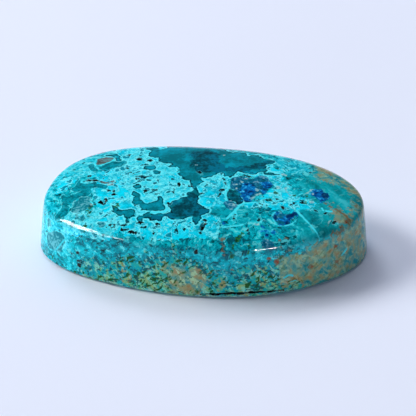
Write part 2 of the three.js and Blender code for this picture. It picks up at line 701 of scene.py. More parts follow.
def smooth_line(corners: np.ndarray, closed: bool, steps: int = 4) -> np.ndarray:
    """Draws a smooth curve through some corners.

    Args:
        corners: rows of two coordinates.
        closed: whether the curve comes back to its start.
        steps: how many points to make for each span.

    Returns:
        The curve's points, one row each.
    """
    if closed:
        padded = np.concatenate([corners[-1:], corners, corners[:2]])
    else:
        padded = np.concatenate([corners[:1], corners, corners[-1:]])
    before, start, end, after = padded[:-3], padded[1:-2], padded[2:-1], padded[3:]
    spans = []
    for t in np.linspace(0, 1, steps, endpoint=False):
        spans.append(0.5 * (
            2 * start + (end - before) * t
            + (2 * before - 5 * start + 4 * end - after) * t**2
            + (3 * start - before - 3 * end + after) * t**3
        ))
    curve = np.stack(spans, axis=1).reshape(-1, 2)
    return curve if closed else np.concatenate([curve, corners[-1:]])


def segment_distance(at: np.ndarray, start: np.ndarray, end: np.ndarray) -> np.ndarray:
    """How far each place is from a straight segment.

    Args:
        at: rows of two coordinates.
        start: the segment's first end.
        end: its other end.

    Returns:
        One distance for each place.
    """
    span = end - start
    along = np.clip((at - start) @ span / max(span @ span, 1e-12), 0, 1)
    away = at - start - along[:, None] * span
    return np.hypot(away[:, 0], away[:, 1])


def loop_reach(at: np.ndarray, loop: np.ndarray, margin: float = 3.0) -> np.ndarray:
    """How far inside a closed loop each place is.

    Args:
        at: rows of two coordinates.
        loop: the loop's points, one row each.
        margin: how far outside the loop distances are still worked out.

    Returns:
        Distances to the loop, negative outside it and never under minus the margin.
    """
    reach = np.full(len(at), -margin)
    low, high = loop.min(0) - margin, loop.max(0) + margin
    close = ((at > low) & (at < high)).all(axis=1)
    near = at[close]
    distance = np.full(len(near), np.inf)
    inside = np.zeros(len(near), bool)
    for start, end in zip(loop, np.roll(loop, -1, axis=0)):
        distance = np.minimum(distance, segment_distance(near, start, end))
        crosses = (start[1] > near[:, 1]) != (end[1] > near[:, 1])
        rise = end[1] - start[1]
        where = start[0] + (near[:, 1] - start[1]) * (end[0] - start[0]) / (rise if rise else 1.0)
        inside ^= crosses & (near[:, 0] < where)
    reach[close] = np.maximum(np.where(inside, distance, -distance), -margin)
    return reach


# The bright crust, and where it and the plain rock are paler.
CRUSTS = (
    Patch(Mineral.CRUST, (
        (-10.5, 12), (-5.6, 12), (-4, 6), (0, 4.2), (3, 3.4), (3, 0), (2.8, -2.6),
        (2, -3.7), (0.9, -3.9), (1.2, -4.9), (2.2, -6), (2.4, -7.6), (1.6, -8.7), (-4, -9.2),
        (-9, -8.5), (-13, -8), (-15.6, -7), (-15.4, -5.6), (-12.4, -5.2), (-12, -3.4), (-12.8, -1.4),
        (-12.6, 1.2), (-14.4, 1.8), (-14, 2.8), (-11.6, 2.8), (-9.4, 4.6), (-11.4, 6.4),
    )),
    Patch(Mineral.CRUST, (
        (3, 2.1), (3.3, 2.6), (3.6, 3.4), (4.1, 3.5), (4.8, 3.2), (5.6, 3.3), (6.2, 3.7), (6.7, 3.6),
        (6.9, 3), (5.6, 2.7), (4.6, 2.9), (3.9, 2.6), (3.5, 2.2), (3.2, 1.9),
    )),
    Patch(Mineral.CRUST, (
        (6.8, 5.6), (7.4, 5.5), (8, 4.8), (8.6, 4.3), (8.8, 3.4), (8.6, 2.2), (8.2, 1.6), (7.6, 1.9),
        (7, 2.8), (6.9, 3.2), (7.2, 3.5), (6.9, 3.8), (7, 4.3), (6.7, 4.8),
    )),
    Patch(Mineral.CRUST, (
        (7.2, -0.3), (7.8, 0.4), (8.2, 1.6), (9, 1.8), (9.6, 1), (10, 0), (10.8, -0.5), (12.2, -1),
        (12.9, -1.8), (12.4, -2.6), (11.2, -2.9), (10.7, -3.4), (9.9, -3.8), (8.4, -3.5), (7, -3.3),
        (5.4, -3.9), (4.7, -3.4), (5.3, -2.8), (6.4, -2.5), (6.5, -1.8), (6.9, -1),
    )),
    Patch(Mineral.PALE, (
        (-10, 7), (-7.6, 8), (-7, 6), (-6, 5), (-4, 4), (-2.6, 1.6), (-1.2, -0.2), (-2.6, -1.8),
        (-4.5, -2.2), (-6.5, -1.6), (-8, 0.5), (-10.5, 1.6), (-11, 3), (-9.6, 5),
    )),
    Patch(Mineral.PALE, (
        (-15.5, -5.4), (-13, -4.6), (-11, -5), (-9.4, -6.4), (-9.2, -7.6), (-12, -8.2), (-15, -7),
    )),
    Patch(Mineral.CRUST, (
        (-16.8, -1.6), (-17.2, 0.6), (-16, 1.6), (-14.9, 1), (-15.2, 0), (-16, -1.2),
    )),
    Patch(Mineral.PALE, ((7.6, 7.8), (8.4, 5), (9.8, 3.8), (11.6, 4.2), (12, 6), (10.4, 8))),
    Patch(Mineral.PALE, (
        (-22, 0), (-20, 7), (-12, 10), (-10.6, 7), (-12.4, 5), (-13, 2.6), (-15, 1), (-17.4, 0),
        (-17, -3), (-15.6, -6), (-16, -9), (-22, -6),
    )),
    Patch(Mineral.PALE, (
        (8, 1.5), (9.4, 1.6), (10, 0), (9, -0.6), (8.6, -1.6), (8.4, -2.6), (7.4, -3), (7.7, -1.4),
    )),
    Patch(Mineral.PALE, ((3.2, 2.6), (4, 3.4), (6.4, 3.5), (5, 2.8))),
    Patch(Mineral.PALE, ((-0.4, 0.6), (0, 1.6), (1.8, 2.6), (1.2, 1.4), (0.4, 0), (-0.5, -0.6))),
)

# The clear pools, the fainter blades, and where the pools are deep.
POOLS = (
    Patch(Mineral.POOL, (
        (-3.8, 12.6), (-4.8, 11.4), (-5.4, 10.2), (-5.1, 9.2), (-5.5, 8.2), (-6.2, 8.7), (-7.1, 8.8),
        (-7.8, 8.1), (-7.2, 7.8), (-7, 7.3), (-7.1, 6.7), (-6.9, 6.2), (-6.4, 5.9), (-5.8, 5.8),
        (-5.7, 5.2), (-5.5, 4.7), (-5, 4.5), (-4.3, 4.6), (-4.1, 4.2), (-4.8, 4), (-4.2, 3.7), (-3.4, 3.7),
        (-3.2, 2.9), (-3.1, 2.4), (-2.7, 1.8), (-2.4, 1.1), (-1.9, 1.1), (-1.5, 0.4), (-1.3, 0), (-1.1, -0.5),
        (-0.8, -0.6), (-0.7, 0), (-0.5, 0.6), (-0.2, 1), (-0.4, 1.3), (-0.4, 1.7), (0.2, 2), (0.7, 2.1),
        (1.1, 2.4), (1.3, 2.8), (1.7, 3), (2, 2.8), (2.2, 2.4), (2.6, 2.4), (2.9, 2.1), (3.3, 2.7),
        (3.6, 3.4), (4.1, 3.5), (4.4, 3.2), (5.5, 3.2), (5.9, 3.4), (6.4, 3.8), (6.7, 3.4), (7.2, 3.2),
        (8.2, 3.3), (8.4, 3.5), (7.6, 3.6), (6.8, 3.8), (7, 4.2), (6.7, 4.7), (6.9, 5), (6.7, 5.4),
        (7, 5.8), (7.5, 5.8), (7.7, 6.6), (7.2, 7), (6.6, 7.1), (6.1, 7.6), (5.8, 8), (5.2, 7.6),
        (4.6, 7.7), (4.3, 8.2), (3.2, 8.3), (2.2, 8.4), (1.6, 9.4), (1.4, 10.6), (0.2, 11.4),
        (-0.8, 12.6), (-2.2, 13.4),
    )),
    Patch(Mineral.POOL, (
        (-0.9, -0.4), (-1.3, -0.9), (-1.7, -1.4), (-1.8, -1.9), (-2.1, -2.3), (-2.9, -2.8), (-3.3, -3.4),
        (-3.6, -3.7), (-3.6, -4.3), (-3.3, -5), (-3.8, -5.3), (-4.6, -5.4), (-5.3, -5.6), (-5.7, -5.1),
        (-6.1, -5.3), (-6.7, -5.9), (-6.9, -6.4), (-7, -7), (-6.6, -6.9), (-6.3, -6.4), (-5.7, -6.3),
        (-5.3, -6.6), (-4.6, -6.5), (-4.4, -6.8), (-4.1, -6.1), (-3.8, -5.8), (-2.8, -6.3), (-2.1, -6.3),
        (-1.1, -5.8), (-0.8, -6.2), (-0.3, -7), (0.1, -6.3), (0.2, -5.4), (0.4, -5.1), (0.9, -4.9),
        (1, -4.5), (0.6, -4), (-0.1, -3.6), (-0.5, -2.8), (-0.3, -2.3), (-0.5, -2), (-0.2, -1.4),
        (-0.6, -1.2), (-0.7, -0.4),
    )),
    Patch(Mineral.POOL, (
        (-8.1, -1.4), (-7.2, -2), (-6.9, -2.9), (-6.2, -3.7), (-5.8, -3.6), (-4.9, -2.9), (-5, -2.4),
        (-4.6, -2.3), (-4.3, -3.7), (-4.1, -4.1), (-4.2, -4.8), (-5.9, -5), (-6, -4.6), (-6.6, -4.9),
        (-7.1, -4), (-7.6, -3.9), (-7.9, -3.3), (-7.8, -2.5),
    )),
    Patch(Mineral.POOL, (
        (-10.1, -4.2), (-9.7, -4.2), (-9, -5.1), (-8, -4.8), (-7.5, -4.9), (-7.1, -5.8), (-7.7, -6.1),
        (-8.2, -7), (-8.6, -5.7), (-9.2, -6), (-9.6, -5.6), (-9.9, -5),
    )),
    Patch(Mineral.BLADE, (
        (-12.6, 3.3), (-12, 4), (-11.2, 4.8), (-10.1, 5), (-9.6, 4.7), (-9.9, 3.7), (-10.6, 3.4),
        (-11.8, 2.9),
    )),
    Patch(Mineral.BLADE, ((-14.1, 4.1), (-13.6, 4.3), (-13, 3.4), (-12.4, 2.5), (-13, 2.5), (-13.8, 3.4))),
    Patch(Mineral.POOL, (
        (-12.3, 6.4), (-11.3, 6.6), (-10.6, 6), (-10.2, 5.1), (-10.7, 4.9), (-11, 5.7), (-11.6, 6.2),
    )),
    Patch(Mineral.BLADE, (
        (-14.4, 1.1), (-13.8, 0.1), (-12.5, 0.1), (-11.2, -0.5), (-11.4, -1.1), (-12.6, -0.9),
        (-13.5, -1.1), (-14.6, -1.7), (-15.3, -1), (-14.5, -0.2),
    )),
    Patch(Mineral.BLADE, (
        (-16.3, -2.1), (-15.6, -2.3), (-14.4, -1.9), (-13.8, -1.2), (-13.1, -1.1), (-12.8, -1.8),
        (-13.3, -2.6), (-14.1, -2.8), (-14.9, -3.6), (-15.4, -3.8), (-15.1, -5), (-15.6, -5.6),
        (-16.6, -5.3), (-16, -4.5), (-16.1, -3.4),
    )),
    Patch(Mineral.POOL, (
        (2.9, -0.2), (3.4, -0.4), (4, -0.6), (4.3, -1.3), (4.7, -2.4), (4.3, -2.9), (3.8, -2.8),
        (2.9, -2.2), (2.7, -1.5), (2.7, -0.8),
    )),
    Patch(Mineral.POOL, ((-7.4, 3.2), (-7, 3.9), (-6.3, 4), (-6, 3.4), (-6.6, 3))),
    Spot(Mineral.POOL, -5.7, 2.5, 0.9, 0.8),
    Spot(Mineral.POOL, -7.7, -0.6, 0.9, 0.8),
    Spot(Mineral.POOL, -6.4, 0.9, 0.6, 0.4),
    Patch(Mineral.BLADE, (
        (1.1, -3.9), (2.6, -3.7), (3.7, -4.1), (3.4, -5), (2.9, -5.6), (1.9, -5.4), (1.2, -4.8),
    )),
    Patch(Mineral.BLADE, (
        (4.1, -4.2), (4.6, -3.3), (5.4, -3.6), (6, -4.4), (5.4, -6), (4.4, -6.2), (4.2, -5),
    )),
    Patch(Mineral.BLADE, ((11.2, -3.2), (13, -3), (13.6, -4.4), (13, -5.4), (12, -4.6))),
    Patch(Mineral.BLADE, ((7, -5.9), (8.2, -5.8), (8.4, -6.8), (7.1, -6.8))),
    Patch(Mineral.BLADE, ((9.2, -6.2), (11, -6), (10.6, -7.3), (9, -7.2))),
    Patch(Mineral.BLADE, ((8.9, 7.9), (10, 7.7), (9.9, 7), (9, 7.1))),
    Patch(Mineral.BLADE, ((4.2, 5.9), (5.3, 6.1), (5.4, 5.1), (4.2, 5)), Chart.WALL),
    Spot(Mineral.BLADE, 3.9, 3.9, 0.8, 1.1, 0, Chart.WALL),
    Patch(Mineral.DEEP, (
        (-2.3, 7.5), (-0.5, 8.2), (1.3, 7.6), (1.2, 5.2), (3, 4.4), (4.8, 5.4), (7.2, 6.6), (6.6, 4.4),
        (4.6, 3.7), (2.2, 3.5), (0.8, 2.9), (-0.4, 2.6), (-1.5, 3.4), (-2, 4.5), (-1.8, 5.6),
    )),
    Patch(Mineral.DEEP, (
        (-1.2, -1.4), (-2.2, -2.6), (-3.2, -3.4), (-3.4, -4.8), (-4.2, -5.8), (-6, -5.8), (-6.9, -6.8),
        (-4.8, -6.5), (-2.6, -6.1), (-0.8, -5.7), (-0.3, -6.9), (0.2, -5.4), (0.9, -4.7), (0.2, -3.7),
        (-0.4, -2),
    )),
    Patch(Mineral.DEEP, ((3.1, -0.3), (4, -0.8), (4.6, -2.5), (3.8, -2.8), (3, -2.2), (2.8, -1))),
    Patch(Mineral.DEEP, ((-16, -4), (-15.2, -4.1), (-15.2, -5.4), (-16.2, -5.3))),
)

# The slate blue rock, the azurite in it, and its indigo hearts.
AZURITES = (
    Patch(Mineral.SLATE, (
        (3, 2), (3.5, 2.3), (4.2, 2.4), (5.4, 2.2), (6.2, 2.9), (7, 2.7), (7.5, 1.9), (7.9, 0.9),
        (7.4, 0.2), (7, -0.9), (6.4, -0.8), (5.9, -1.4), (5.5, -2.5), (4.7, -2.2), (4, -0.6), (3, -0.2),
        (2.9, 0.9),
    )),
    Patch(Mineral.SLATE, ((2.5, -2.9), (3.2, -2.4), (3.9, -2.9), (3.8, -3.9), (3.1, -4), (2.6, -3.5))),
    Patch(Mineral.BLADE, ((2.6, -7.3), (3.4, -7.2), (3.3, -8), (2.9, -9.2), (2.5, -8.9), (2.2, -7.8))),
    Patch(Mineral.SLATE, ((7.3, -8.5), (8.3, -8.4), (8.8, -9), (7.5, -9.3))),
    Patch(Mineral.SLATE, ((8.3, -4.2), (9, -3.8), (9.8, -4.6), (9.8, -6), (9, -6.1), (8.3, -5.2))),
    Patch(Mineral.AZURITE, (
        (4.2, 0.5), (5, 1.3), (5.8, 0.9), (6, 0), (5.8, -0.8), (5.5, -1.4), (5.4, -2.4), (5, -2.5),
        (4.6, -2), (4.2, -1.2), (4.1, -0.3),
    )),
    Patch(Mineral.AZURITE, (
        (6.5, 1.5), (7.4, 1.6), (7.8, 0.8), (7.4, 0.4), (7, -0.7), (6.6, -0.5), (6.7, 0.6),
    )),
    Patch(Mineral.AZURITE, (
        (12.4, 0.7), (13.2, 1.1), (13.8, 0.8), (14.1, 0.3), (14.1, -0.4), (13.9, -0.9), (13.4, -1.3),
        (12.9, -0.6), (12.4, -0.1),
    )),
    Patch(Mineral.AZURITE, (
        (10.6, -3.4), (10.9, -3.9), (10.8, -4.3), (10.3, -4.9), (10.2, -5.7), (9.9, -6), (9.6, -5.7),
        (9.5, -5.1), (9.3, -4.8), (9.7, -4.3), (10.3, -4),
    )),
    Vein(Mineral.AZURITE, ((8.6, -4.1), (8.4, -4.7), (8.5, -5.2), (9, -5.2)), 0.3, 0.4),
    Vein(Mineral.AZURITE, ((8.9, -5.5), (9.2, -6.1)), 0.25, 0.3),
    *spots(Mineral.AZURITE, (
        (7.2, -6.6, 0.5, 0.3, -20), (7.1, -7.3, 0.3, 0.4, 0), (7.5, -7.2, 0.3, 0.3, 0),
        (7.8, -7.7, 0.7, 0.5, -20), (8.5, -7.4, 0.25, 0.6, 0), (2.9, -6.4, 0.4, 0.5, 0),
    )),
    *spots(Mineral.INDIGO, (
        (10.3, -4.2, 1.5, 0.6, 35), (8.5, -4.9, 0.3, 0.8, 0), (9.9, -5.6, 0.4, 0.6, 0),
        (5.1, -2.4, 0.7, 0.35, 0), (7.5, 0.6, 0.7, 0.25, 25), (6.8, -0.8, 0.6, 0.25, -10),
        (13.8, 0.1, 0.6, 1.2, 0), (14.1, -0.9, 0.4, 0.2, 0), (5.9, -1.2, 0.25, 0.9, 35),
        (5.7, 0.9, 0.6, 0.5, 0), (3.1, 1.6, 0.2, 0.3, 0), (7.8, -7.7, 0.5, 0.3, -20),
    )),
)

# The clear quartz and glassy windows, and the pale frost on the dome.
WINDOWS = (
    Patch(Mineral.QUARTZ, (
        (-13.1, 5.4), (-12.6, 5.8), (-11.7, 5.8), (-11.1, 5.7), (-11.3, 5), (-12, 4.4), (-12.8, 4),
        (-13.1, 4.5),
    )),
    Vein(Mineral.QUARTZ, ((-13.5, 0.7), (-12.5, 0.6), (-11.6, 0.2), (-10.7, 0.4)), 0.3, 0.4),
    Patch(Mineral.GLASS, (
        (-14.6, -3.6), (-14.1, -2.9), (-13.4, -2.7), (-12.8, -2.8), (-12.6, -3.6), (-12.5, -4.6),
        (-13.3, -5), (-14.2, -5.3), (-14.8, -5), (-14.7, -4.2),
    )),
    Spot(Mineral.GLASS, -13.4, -6.2, 0.8, 0.8),
    Spot(Mineral.GLASS, -14.1, -6.0, 0.5, 0.6),
    Spot(Mineral.GLASS, -14.5, -6.6, 0.4, 0.4),
    Spot(Mineral.GLASS, -11.0, -7.3, 0.9, 0.8),
    Patch(Mineral.GLASS, ((-19.4, 5.6), (-18.7, 5.7), (-18.6, 4.9), (-19.2, 4.3)), Chart.WALL),
    Patch(Mineral.GLASS, (
        (-19.2, 3.3), (-17.8, 4.5), (-16.3, 4.8), (-16.1, 3.4), (-17.0, 2.2), (-18.6, 1.9),
    ), Chart.WALL),
    Spot(Mineral.GLASS, -19.0, 1.1, 0.8, 0.7, 60, Chart.WALL),
    Vein(Mineral.FROST, ((6.5, -0.7), (6, -1.3), (5.6, -1.8)), 0.25, 0.4),
    Vein(Mineral.FROST, ((3.3, -2.5), (3.6, -3), (3.7, -3.6)), 0.2, 0.12),
    Vein(Mineral.FROST, ((9.3, 0.8), (9.4, 0.2), (9.9, -0.6)), 0.25, 0.12),
    Vein(Mineral.FROST, ((12.4, 1), (12, 0.4), (11.5, -0.2)), 0.12, 0.1),
    *spots(Mineral.FROST, (
        (-1.3, 4.4, 0.35, 0.35, 0), (1.8, 7.2, 0.4, 0.5, 0), (3.1, 1.1, 0.25, 0.35, 0),
        (3.7, 0.8, 0.2, 0.3, 0), (3.7, 0, 0.2, 0.4, -30), (4.7, 2.1, 0.35, 0.2, 0),
        (4.2, 1.4, 0.5, 0.2, 0), (6.1, -0.1, 0.4, 0.7, 20), (6.5, -6.3, 0.5, 0.4, 0),
        (8.5, 0.7, 0.45, 0.7, 30), (12.5, 0.1, 0.25, 0.4, 0), (14.1, -1.2, 0.45, 0.25, 20),
        (-10.7, -0.2, 0.8, 0.6, 0), (15.2, -4.6, 0.6, 0.12, 0), (-12.6, -4.2, 0.2, 0.8, 0),
        (9, 3.5, 0.9, 0.4, -30), (14.6, -4.4, 0.15, 0.6, -20), (12.4, -1.5, 0.6, 0.5, 0),
    )),
)

# The matrix low on the wall and the sandy right end, with their malachite and rust.
MATRICES = (
    Patch(Mineral.MATRIX, (
        (-14.4, -2), (-13, 1.2), (-10.6, 2.8), (-7.6, 3.8), (-4.5, 4.4), (-3, 5.4), (-1.4, 5.2), (0.6, 4.4),
        (2.2, 3.2), (4, 3.2), (7, 3.4), (9.4, 4), (10, 4.4), (13.5, 4.8), (17, 4.6), (20, 4.6),
        (26, 4.4), (30, -2), (10, -4), (-8, -4),
    ), Chart.WALL),
    Patch(Mineral.SAND, (
        (12.2, 7.4), (12.4, 5.4), (12.8, 3.6), (14.6, 2.8), (16.2, 2.0), (17.4, 0.4), (17.2, -2), (24, -3),
        (22, 6), (15, 11), (12, 9.6),
    )),
    Patch(Mineral.SAND, (
        (9.6, 4.4), (12.4, 5.2), (15, 5.8), (18, 6.4), (22, 6.2), (25, 2), (23, 0.6), (20.6, -0.6),
        (13.6, -0.6), (12.4, 0.9), (10, 1.7),
    ), Chart.WALL),
    Patch(Mineral.SAND, (
        (-3, 3.6), (-1.2, 4.2), (0.8, 3.4), (1.6, 1.6), (0.4, 0.2), (-2.4, 0.4),
    ), Chart.WALL),
    Patch(Mineral.SAND, ((14.2, -1.5), (15.4, -2), (16.6, -2.9), (16.6, -3.8), (15.6, -4), (15, -2.8))),
    *spots(Mineral.MALACHITE, (
        (-12.6, -4.6, 0.9, 0.6, 45), (-13, -5, 0.3, 0.3, 0), (-12.7, -5.4, 0.3, 0.3, 0),
        (-12.8, -6, 0.3, 0.3, 0), (-12.9, -7.3, 0.5, 0.4, 0), (-9.6, -3.8, 0.35, 0.3, 0),
        (-9.6, -4.3, 0.5, 0.4, 0), (7.6, -1.8, 0.9, 0.45, 20), (11.8, -1.8, 0.8, 0.4, -10),
        (8.3, -0.4, 0.3, 0.4, 0), (8.2, 0.5, 0.2, 0.4, 0), (10.5, -0.5, 0.35, 0.4, 0),
        (11.8, -0.5, 0.6, 0.2, -30), (5.9, -9.6, 0.3, 0.4, 0), (4.2, -9.9, 0.3, 0.2, 0),
        (2.4, -7.1, 0.15, 0.5, 0), (8.6, -8, 0.3, 0.2, 0),
    )),
    Spot(Mineral.MALACHITE, -17.8, 0.8, 0.5, 0.4, 0, Chart.WALL),
    Vein(Mineral.MALACHITE, ((5, -7.8), (4.9, -8.5), (4.4, -9.1), (4.1, -9.9), (4, -10.4)), 0.24, 0.34),
    Vein(Mineral.MALACHITE, ((4.6, -8.3), (4.5, -8.8)), 0.25, 0.2),
    Vein(Mineral.RUST, ((2.8, -8.9), (2.9, -9.6), (3.1, -10.4)), 0.34, 0.26),
    Vein(Mineral.RUST, ((13.9, -1.5), (14.9, -2), (16, -2.6), (16.7, -3.1), (16.6, -3.7)), 0.3, 0.4),
    Vein(Mineral.RUST, ((16.1, -4.4), (15.7, -5.2), (14.9, -5.7)), 0.25, 0.15),
    *spots(Mineral.RUST, (
        (9.3, -8.2, 0.3, 0.5, 0), (9.8, -7.9, 0.9, 0.2, 10), (14.5, -5.1, 0.2, 0.3, 0),
        (17.6, -0.8, 0.4, 0.6, 0), (14.3, 5.1, 0.3, 0.7, 0), (14.3, -1.7, 0.3, 0.3, 0),
    )),
    *spots(Mineral.RUST, (
        (9.5, 4.6, 0.9, 0.8, -40), (8.7, 5.1, 0.7, 0.4, -30), (17.1, 4.6, 0.5, 0.5, 0),
        (13.6, 2.9, 1.2, 0.5, 15), (17.1, 2.3, 0.8, 0.6, 0), (4.4, 4.1, 0.3, 0.3, 0),
        (2.4, 1.9, 0.5, 0.3, 0), (0.3, 0.9, 0.4, 0.3, 0),
    ), Chart.WALL),
)

# The thin bright lines, and the frost along the foot of the wall.
LACES = (
    Vein(Mineral.LACE, ((-5.5, -5.3), (-4.9, -5.2), (-4, -5.1), (-3.8, -4.4)), 0.2, 0.25),
    Vein(Mineral.LACE, (
        (3.1, -5.7), (3.4, -5.2), (3.9, -4.2), (4.6, -3), (5.2, -2.7), (6.3, -2.5), (7, -3),
    ), 0.25, 0.12),
    Vein(Mineral.LACE, ((2.8, -7.2), (3.5, -7), (4.6, -6.7), (5, -6.5)), 0.2, 0.1),
    Vein(Mineral.LACE, ((3.9, -4.2), (4.1, -5), (4.1, -5.6)), 0.2, 0.1),
    Vein(Mineral.LACE, ((0.9, -3.9), (1.1, -4.3), (1.1, -4.8)), 0.12),
    Vein(Mineral.LACE, ((6.8, -4.8), (7, -6)), 0.12, 0.08),
    Vein(Mineral.LACE, (
        (8.4, -4), (8.1, -4.7), (8.3, -5.3), (8.9, -6.1), (9.6, -6.1), (10.5, -5.6), (10.9, -4.8),
    ), 0.12, 0.1),
    Vein(Mineral.LACE, ((10.8, -3.3), (11.2, -3.9), (11.8, -4.6), (12.6, -5.5), (13.6, -6.6)), 0.25, 0.1),
    Vein(Mineral.LACE, ((10.7, -0.8), (10.9, -0.4), (11.3, 0)), 0.15, 0.1),
    Vein(Mineral.LACE, ((13.6, -2.4), (13.9, -2.9)), 0.2, 0.15),
    Vein(Mineral.LACE, ((14.2, -2.8), (14.8, -2.7)), 0.3, 0.2),
    Vein(Mineral.LACE, ((2.5, 1.8), (2.7, 1), (2.9, 0.2), (2.7, -0.5), (2.6, -1.4), (2.8, -2.4)), 0.14, 0.2),
    Vein(Mineral.LACE, ((-4, 3.6), (-3.3, 3.5), (-3.2, 2.7), (-3.9, 2.5), (-4.1, 3)), 0.1),
    Vein(Mineral.LACE, ((-5, 2.4), (-4.4, 1.7), (-3.9, 1), (-3.4, 0.7)), 0.1),
    Vein(Mineral.LACE, ((-13.3, 5.2), (-13.3, 4.5), (-13, 3.8), (-12.6, 3.1)), 0.12),
    Vein(Mineral.LACE, ((-12.9, 3.8), (-12.2, 4.1), (-11.4, 4.7), (-11.1, 5.2), (-11, 5.9)), 0.12),
    Vein(Mineral.LACE, ((-14.1, 1), (-14, 0.4), (-13.6, 0.1)), 0.12),
    Vein(Mineral.LACE, ((-12.7, -2.8), (-12.6, -3.5), (-12.3, -4), (-12.3, -4.8)), 0.12),
    Vein(Mineral.LACE, ((-17.9, 1.2), (-16.8, 3), (-15.8, 4.6)), 0.16, 0.16, Chart.WALL),
    Vein(Mineral.FROST, ((-13.4, 0.5), (-10, 0.42), (-5, 0.4), (-1, 0.36)), 0.1, 0.2, Chart.WALL),
    Vein(Mineral.FROST, ((0.2, 0.3), (2.4, 0.34), (4.6, 0.36), (6.6, 0.3)), 0.3, 0.2, Chart.WALL),
    Vein(Mineral.FROST, ((7.2, 0.3), (9.4, 0.35), (11.6, 0.4)), 0.3, 0.2, Chart.WALL),
    Spot(Mineral.LACE, -5.9, 8.3, 0.35, 0.5),
    Vein(Mineral.LACE, ((10.3, 2.2), (11, 2.5), (11.5, 2.2)), 0.12, 0.25, Chart.WALL),
    Vein(Mineral.LACE, ((10.9, 1.5), (11.7, 1.6)), 0.15, 0.2, Chart.WALL),
    Vein(Mineral.LACE, ((17.9, 3), (18.7, 3.5)), 0.14, 0.2, Chart.WALL),
)
